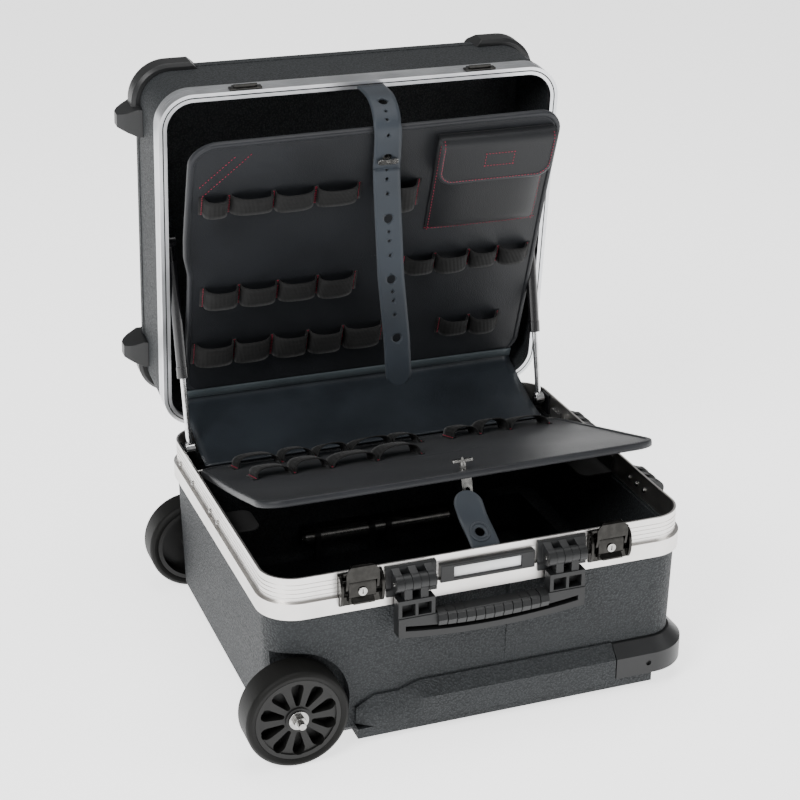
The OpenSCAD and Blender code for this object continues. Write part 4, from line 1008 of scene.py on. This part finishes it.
strip_half = lid_board_half - 4
strip_section = ((4, 4), (4, 5.4), (5, 6.2), (15, 6.2), (16, 5.6), (16, 4))
strip_rings = [[lid_pallet.at(strip_half * (2 * t - 1), u, n) for u, n in strip_section]
               for t in spaced(40)]
fitted(loft("foot_strip", strip_rings, edging_plastic, close_ends=True),
       "lid_pallet", "leatherette")
print("foot strip:", round(2 * strip_half), "mm long")

# %% [markdown]
# ## Straps
# A strap of thick rubbery leather hangs from the front of the lid over the
# pallet's edge, held by a turn-lock through one of its eyelets. A shorter one
# stands up from the front wall of the case. The strap is a cloth along a smooth
# path. The holes are cut with a Boolean, and each eyelet has a raised ring. The
# long strap is made in two pieces that meet below the turn-lock: the upper one
# stays where it is drawn, and the loose tail rides with the lid's pallet.

# %% Strap path
def smooth_path(points, steps=14):
    """A Catmull-Rom line through [y, z] points, and how far along it each point lies."""
    p = [np.array(q, float) for q in points]
    p = [2 * p[0] - p[1]] + p + [2 * p[-1] - p[-2]]
    line = []
    for a, b, c, d in zip(p, p[1:], p[2:], p[3:]):
        for k in range(steps):
            t = k / steps
            line.append(0.5 * (2 * b + (c - a) * t + (2 * a - 5 * b + 4 * c - d) * t ** 2
                               + (3 * b - a - 3 * c + d) * t ** 3))
    line = np.array([*line, p[-2]])
    run = np.concatenate([[0], np.cumsum(np.linalg.norm(np.diff(line, axis=0), axis=1))])
    return line, run


# %% Strap
strap_wide, strap_thick = 33, 2.4
big_hole, small_hole, eyelet = 5.6, 1.9, 12


class Strap:
    """A strap along a path of [y, z] points, with a round tip at the path's end."""

    def __init__(self, path, sway):
        """sway lists where the strap lies across, as (height, x) from low to high."""
        self.line, self.run = smooth_path(path)
        self.length, self.sway = self.run[-1], sway

    def centre(self, d):
        y, z = (float(np.interp(d, self.run, self.line[:, k])) for k in (0, 1))
        return Vector((np.interp(z, *zip(*self.sway)), y, z))

    def down_to(self, z):
        """How far along it is where the strap first gets below height z."""
        return self.run[np.argmax(self.line[:, 1] < z)]

    def facing(self, d):
        """Straight out of the strap's front."""
        step = self.centre(min(d + 1, self.length)) - self.centre(max(d - 1, 0))
        return Vector((0, -step.z, step.y)).normalized()

    def half(self, d):
        """Half its width there, less towards the round tip."""
        left, r = self.length - d, strap_wide / 2
        return r if left >= r else math.sqrt(max(0.02, r * r - (r - left) ** 2))

    def made(self, name, holes, begin=0.0, end=None):
        """The strap between two distances along it. holes are (distance along, radius)."""
        tip = strap_wide / 2
        last = end or self.length - tip
        steps = list(np.linspace(begin, last, int((last - begin) / 4)))
        if not end:
            steps += [self.length - tip * (1 - math.sin(math.pi / 2 * k / 10))
                      for k in range(1, 11)]

        def surface(d, f):
            c = self.centre(d)
            return (c.x + self.half(d) * (2 * f - 1), c.y, c.z)

        strap = cloth(name, surface, steps, spaced(8), strap_thick, strap_leather)
        cutters = []
        for d, radius in (h for h in holes if steps[0] < h[0] < steps[-1]):
            turn = self.facing(d).to_track_quat("Z", "Y")
            ring = [turn @ Vector((radius * math.cos(a), radius * math.sin(a), 0))
                    for a in (2 * math.pi * k / 24 for k in range(24))]
            middle = self.centre(d)
            cutters.append(loft("cut", [[middle + p + self.facing(d) * h for p in ring]
                                        for h in (-6, 6)], strap_leather, close_ends=True))
        cutter = joined("cut_all", cutters)
        cut = strap.modifiers.new("holes", "BOOLEAN")
        cut.object, cut.solver = cutter, "EXACT"
        depsgraph = bpy.context.evaluated_depsgraph_get()
        mesh = bpy.data.meshes.new_from_object(strap.evaluated_get(depsgraph))
        strap.modifiers.clear()
        strap.data = mesh
        bpy.data.objects.remove(cutter)
        return strap

    def rings(self, name, places):
        """Raised rings round the eyelets. profile is (in from the rim, height)."""
        profile = ((2.6, 0.2), (2.4, 0.9), (1.7, 1.25), (0.7, 1.1), (0, 0.5), (0, 0.2))
        sunk = 0.3
        rings = []
        for d in places:
            turn = self.facing(d).to_track_quat("Z", "Y")
            ring = []
            for k in range(32):
                a = 2 * math.pi * k / 32
                ring.append([self.centre(d) + turn @ Vector((
                    (eyelet - inward) * math.cos(a), (eyelet - inward) * math.sin(a),
                    strap_thick / 2 + high - sunk)) for inward, high in profile])
            rings.append(loft("ring", ring, strap_leather))
        return joined(name, rings)


# %% Lid strap
strap_low, strap_high = node_box("lid_strap")
lock_x = sum(corner.x for corner in node_box("lid_turnlock_post")) / 2
lock_up, strap_in_front = 346, 9
lock = lid_pallet.at(lock_x, lock_up, 0)
lock_y, lock_z = lock.y - strap_in_front, lock.z
from_lock = [(40, 66), (12, 58), (-8, 44), (-12, 30), (-3, 0), (2, -20), (3, -90), (4, -150)]
lid_strap_path = [(strap_high.y - 1.5, strap_high.z - 3),
                  *((lock_y + y, lock_z + z) for y, z in from_lock),
                  (lock_y + 7, strap_low.z - 4)]
lid_strap_sway = [(lock_z + z, lock_x + x) for z, x in (
    (-292, 19), (-227, 15), (-150, 7), (-73, 3), (0, 0), (40, -3), (64, 2))]
lid_strap = Strap(lid_strap_path, lid_strap_sway)

eyelet_pitch = 76.0
lock_down = lid_strap.down_to(lock_z)
below_lock = lock_down + 15
eyelets = [lock_down + eyelet_pitch * k for k in (-1, 0, 1, 2, 3)]
between = [lock_down + eyelet_pitch * (k + t) for k in (-1, 0, 1, 2) for t in (0.21, 0.36, 0.6)]
holes = [(d, big_hole) for d in eyelets] + [(d, small_hole) for d in between]
held = lid_strap.made("lid_strap_held", holes, end=below_lock)
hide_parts("lid_strap")
for piece in (held, lid_strap.rings("lid_strap_held_eyelets", eyelets[:2])):
    lid_strap.centre(4) * MM
    lid_strap.centre(lock_down - 12) * MM
    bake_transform(piece)
for piece in (lid_strap.made("lid_strap_tail", holes, begin=below_lock),
              lid_strap.rings("lid_strap_tail_eyelets", eyelets[2:])):
    fitted(piece, "lid_pallet", "leatherette")
    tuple(lid_pallet.out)
    lid_strap.centre(below_lock) * MM
    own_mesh(piece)
print("lid strap:", round(lid_strap.length), "mm, eyelets at", [round(d) for d in eyelets])

# %% Base strap
base_strap_low, base_strap_high = node_box("base_strap")
wall_y = base_strap_low.y + 1.25
rim_z = (Vector(joints["lid_hinge"]["pos_m"]) / MM).z + 4
base_strap = Strap([(wall_y, base_strap_low.z), (wall_y + 0.5, rim_z - 4), (wall_y + 11, rim_z + 8),
                    (wall_y + 29, rim_z + 22), (wall_y + 41, base_strap_high.z)],
                   [(rim_z - 4, 2), (base_strap_high.z, -8)])
tip_to_eyelet = 49
base_eyelet = base_strap.length - tip_to_eyelet
base_pieces = (base_strap.made("base_strap_band", [(base_eyelet, big_hole)]),
               base_strap.rings("base_strap_eyelet", [base_eyelet]))
fitted_together(base_pieces, "base", "leatherette", "base_strap")
for piece in base_pieces:
    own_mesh(piece)
print("base strap:", round(base_strap.length), "mm")

# %% [markdown]
# ## Spine
# A wide sheet of leatherette joins the two pallets and hides the hinge gap. It
# hangs in a soft belly between its two seams, so it is a cloth along a sagging
# curve, whose middle points are listed. It runs from the strip at its top to the
# lower rod.

# %% Spine flap
lid_rod, base_rod = lid_pallet.rod, base_pallet.rod
spine_sag = [(221, 218.5), (207, 211.5), (185, 202), (159, 193)]
spine_path = [(lid_rod.y - 4, lid_rod.z + 12), (lid_rod.y - 5, lid_rod.z - 4), *spine_sag,
              (base_rod.y + 2, base_rod.z + 5)]
spine_line, spine_run = smooth_path(spine_path)
spine_half = node_box("pallet_flap")[1].x


def spine_surface(s, f):
    d = spine_run[-1] * s
    y, z = (np.interp(d, spine_run, spine_line[:, k]) for k in (0, 1))
    ripple = math.sin(7 * f + 3 * s) * math.sin(math.pi * s)
    return (-spine_half + 2 * spine_half * f, y, z + ripple)


# A paler copy of the leatherette, with painted sheen for the light on the spine's belly.
spine = cloth("spine", spine_surface, spaced(36), spaced(40), 1.6, spine_leather_painted_sheen)
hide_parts("pallet_flap")
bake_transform(spine)
spine_run[-1] * MM
print("spine:", round(2 * spine_half), "x", round(spine_run[-1]), "mm")
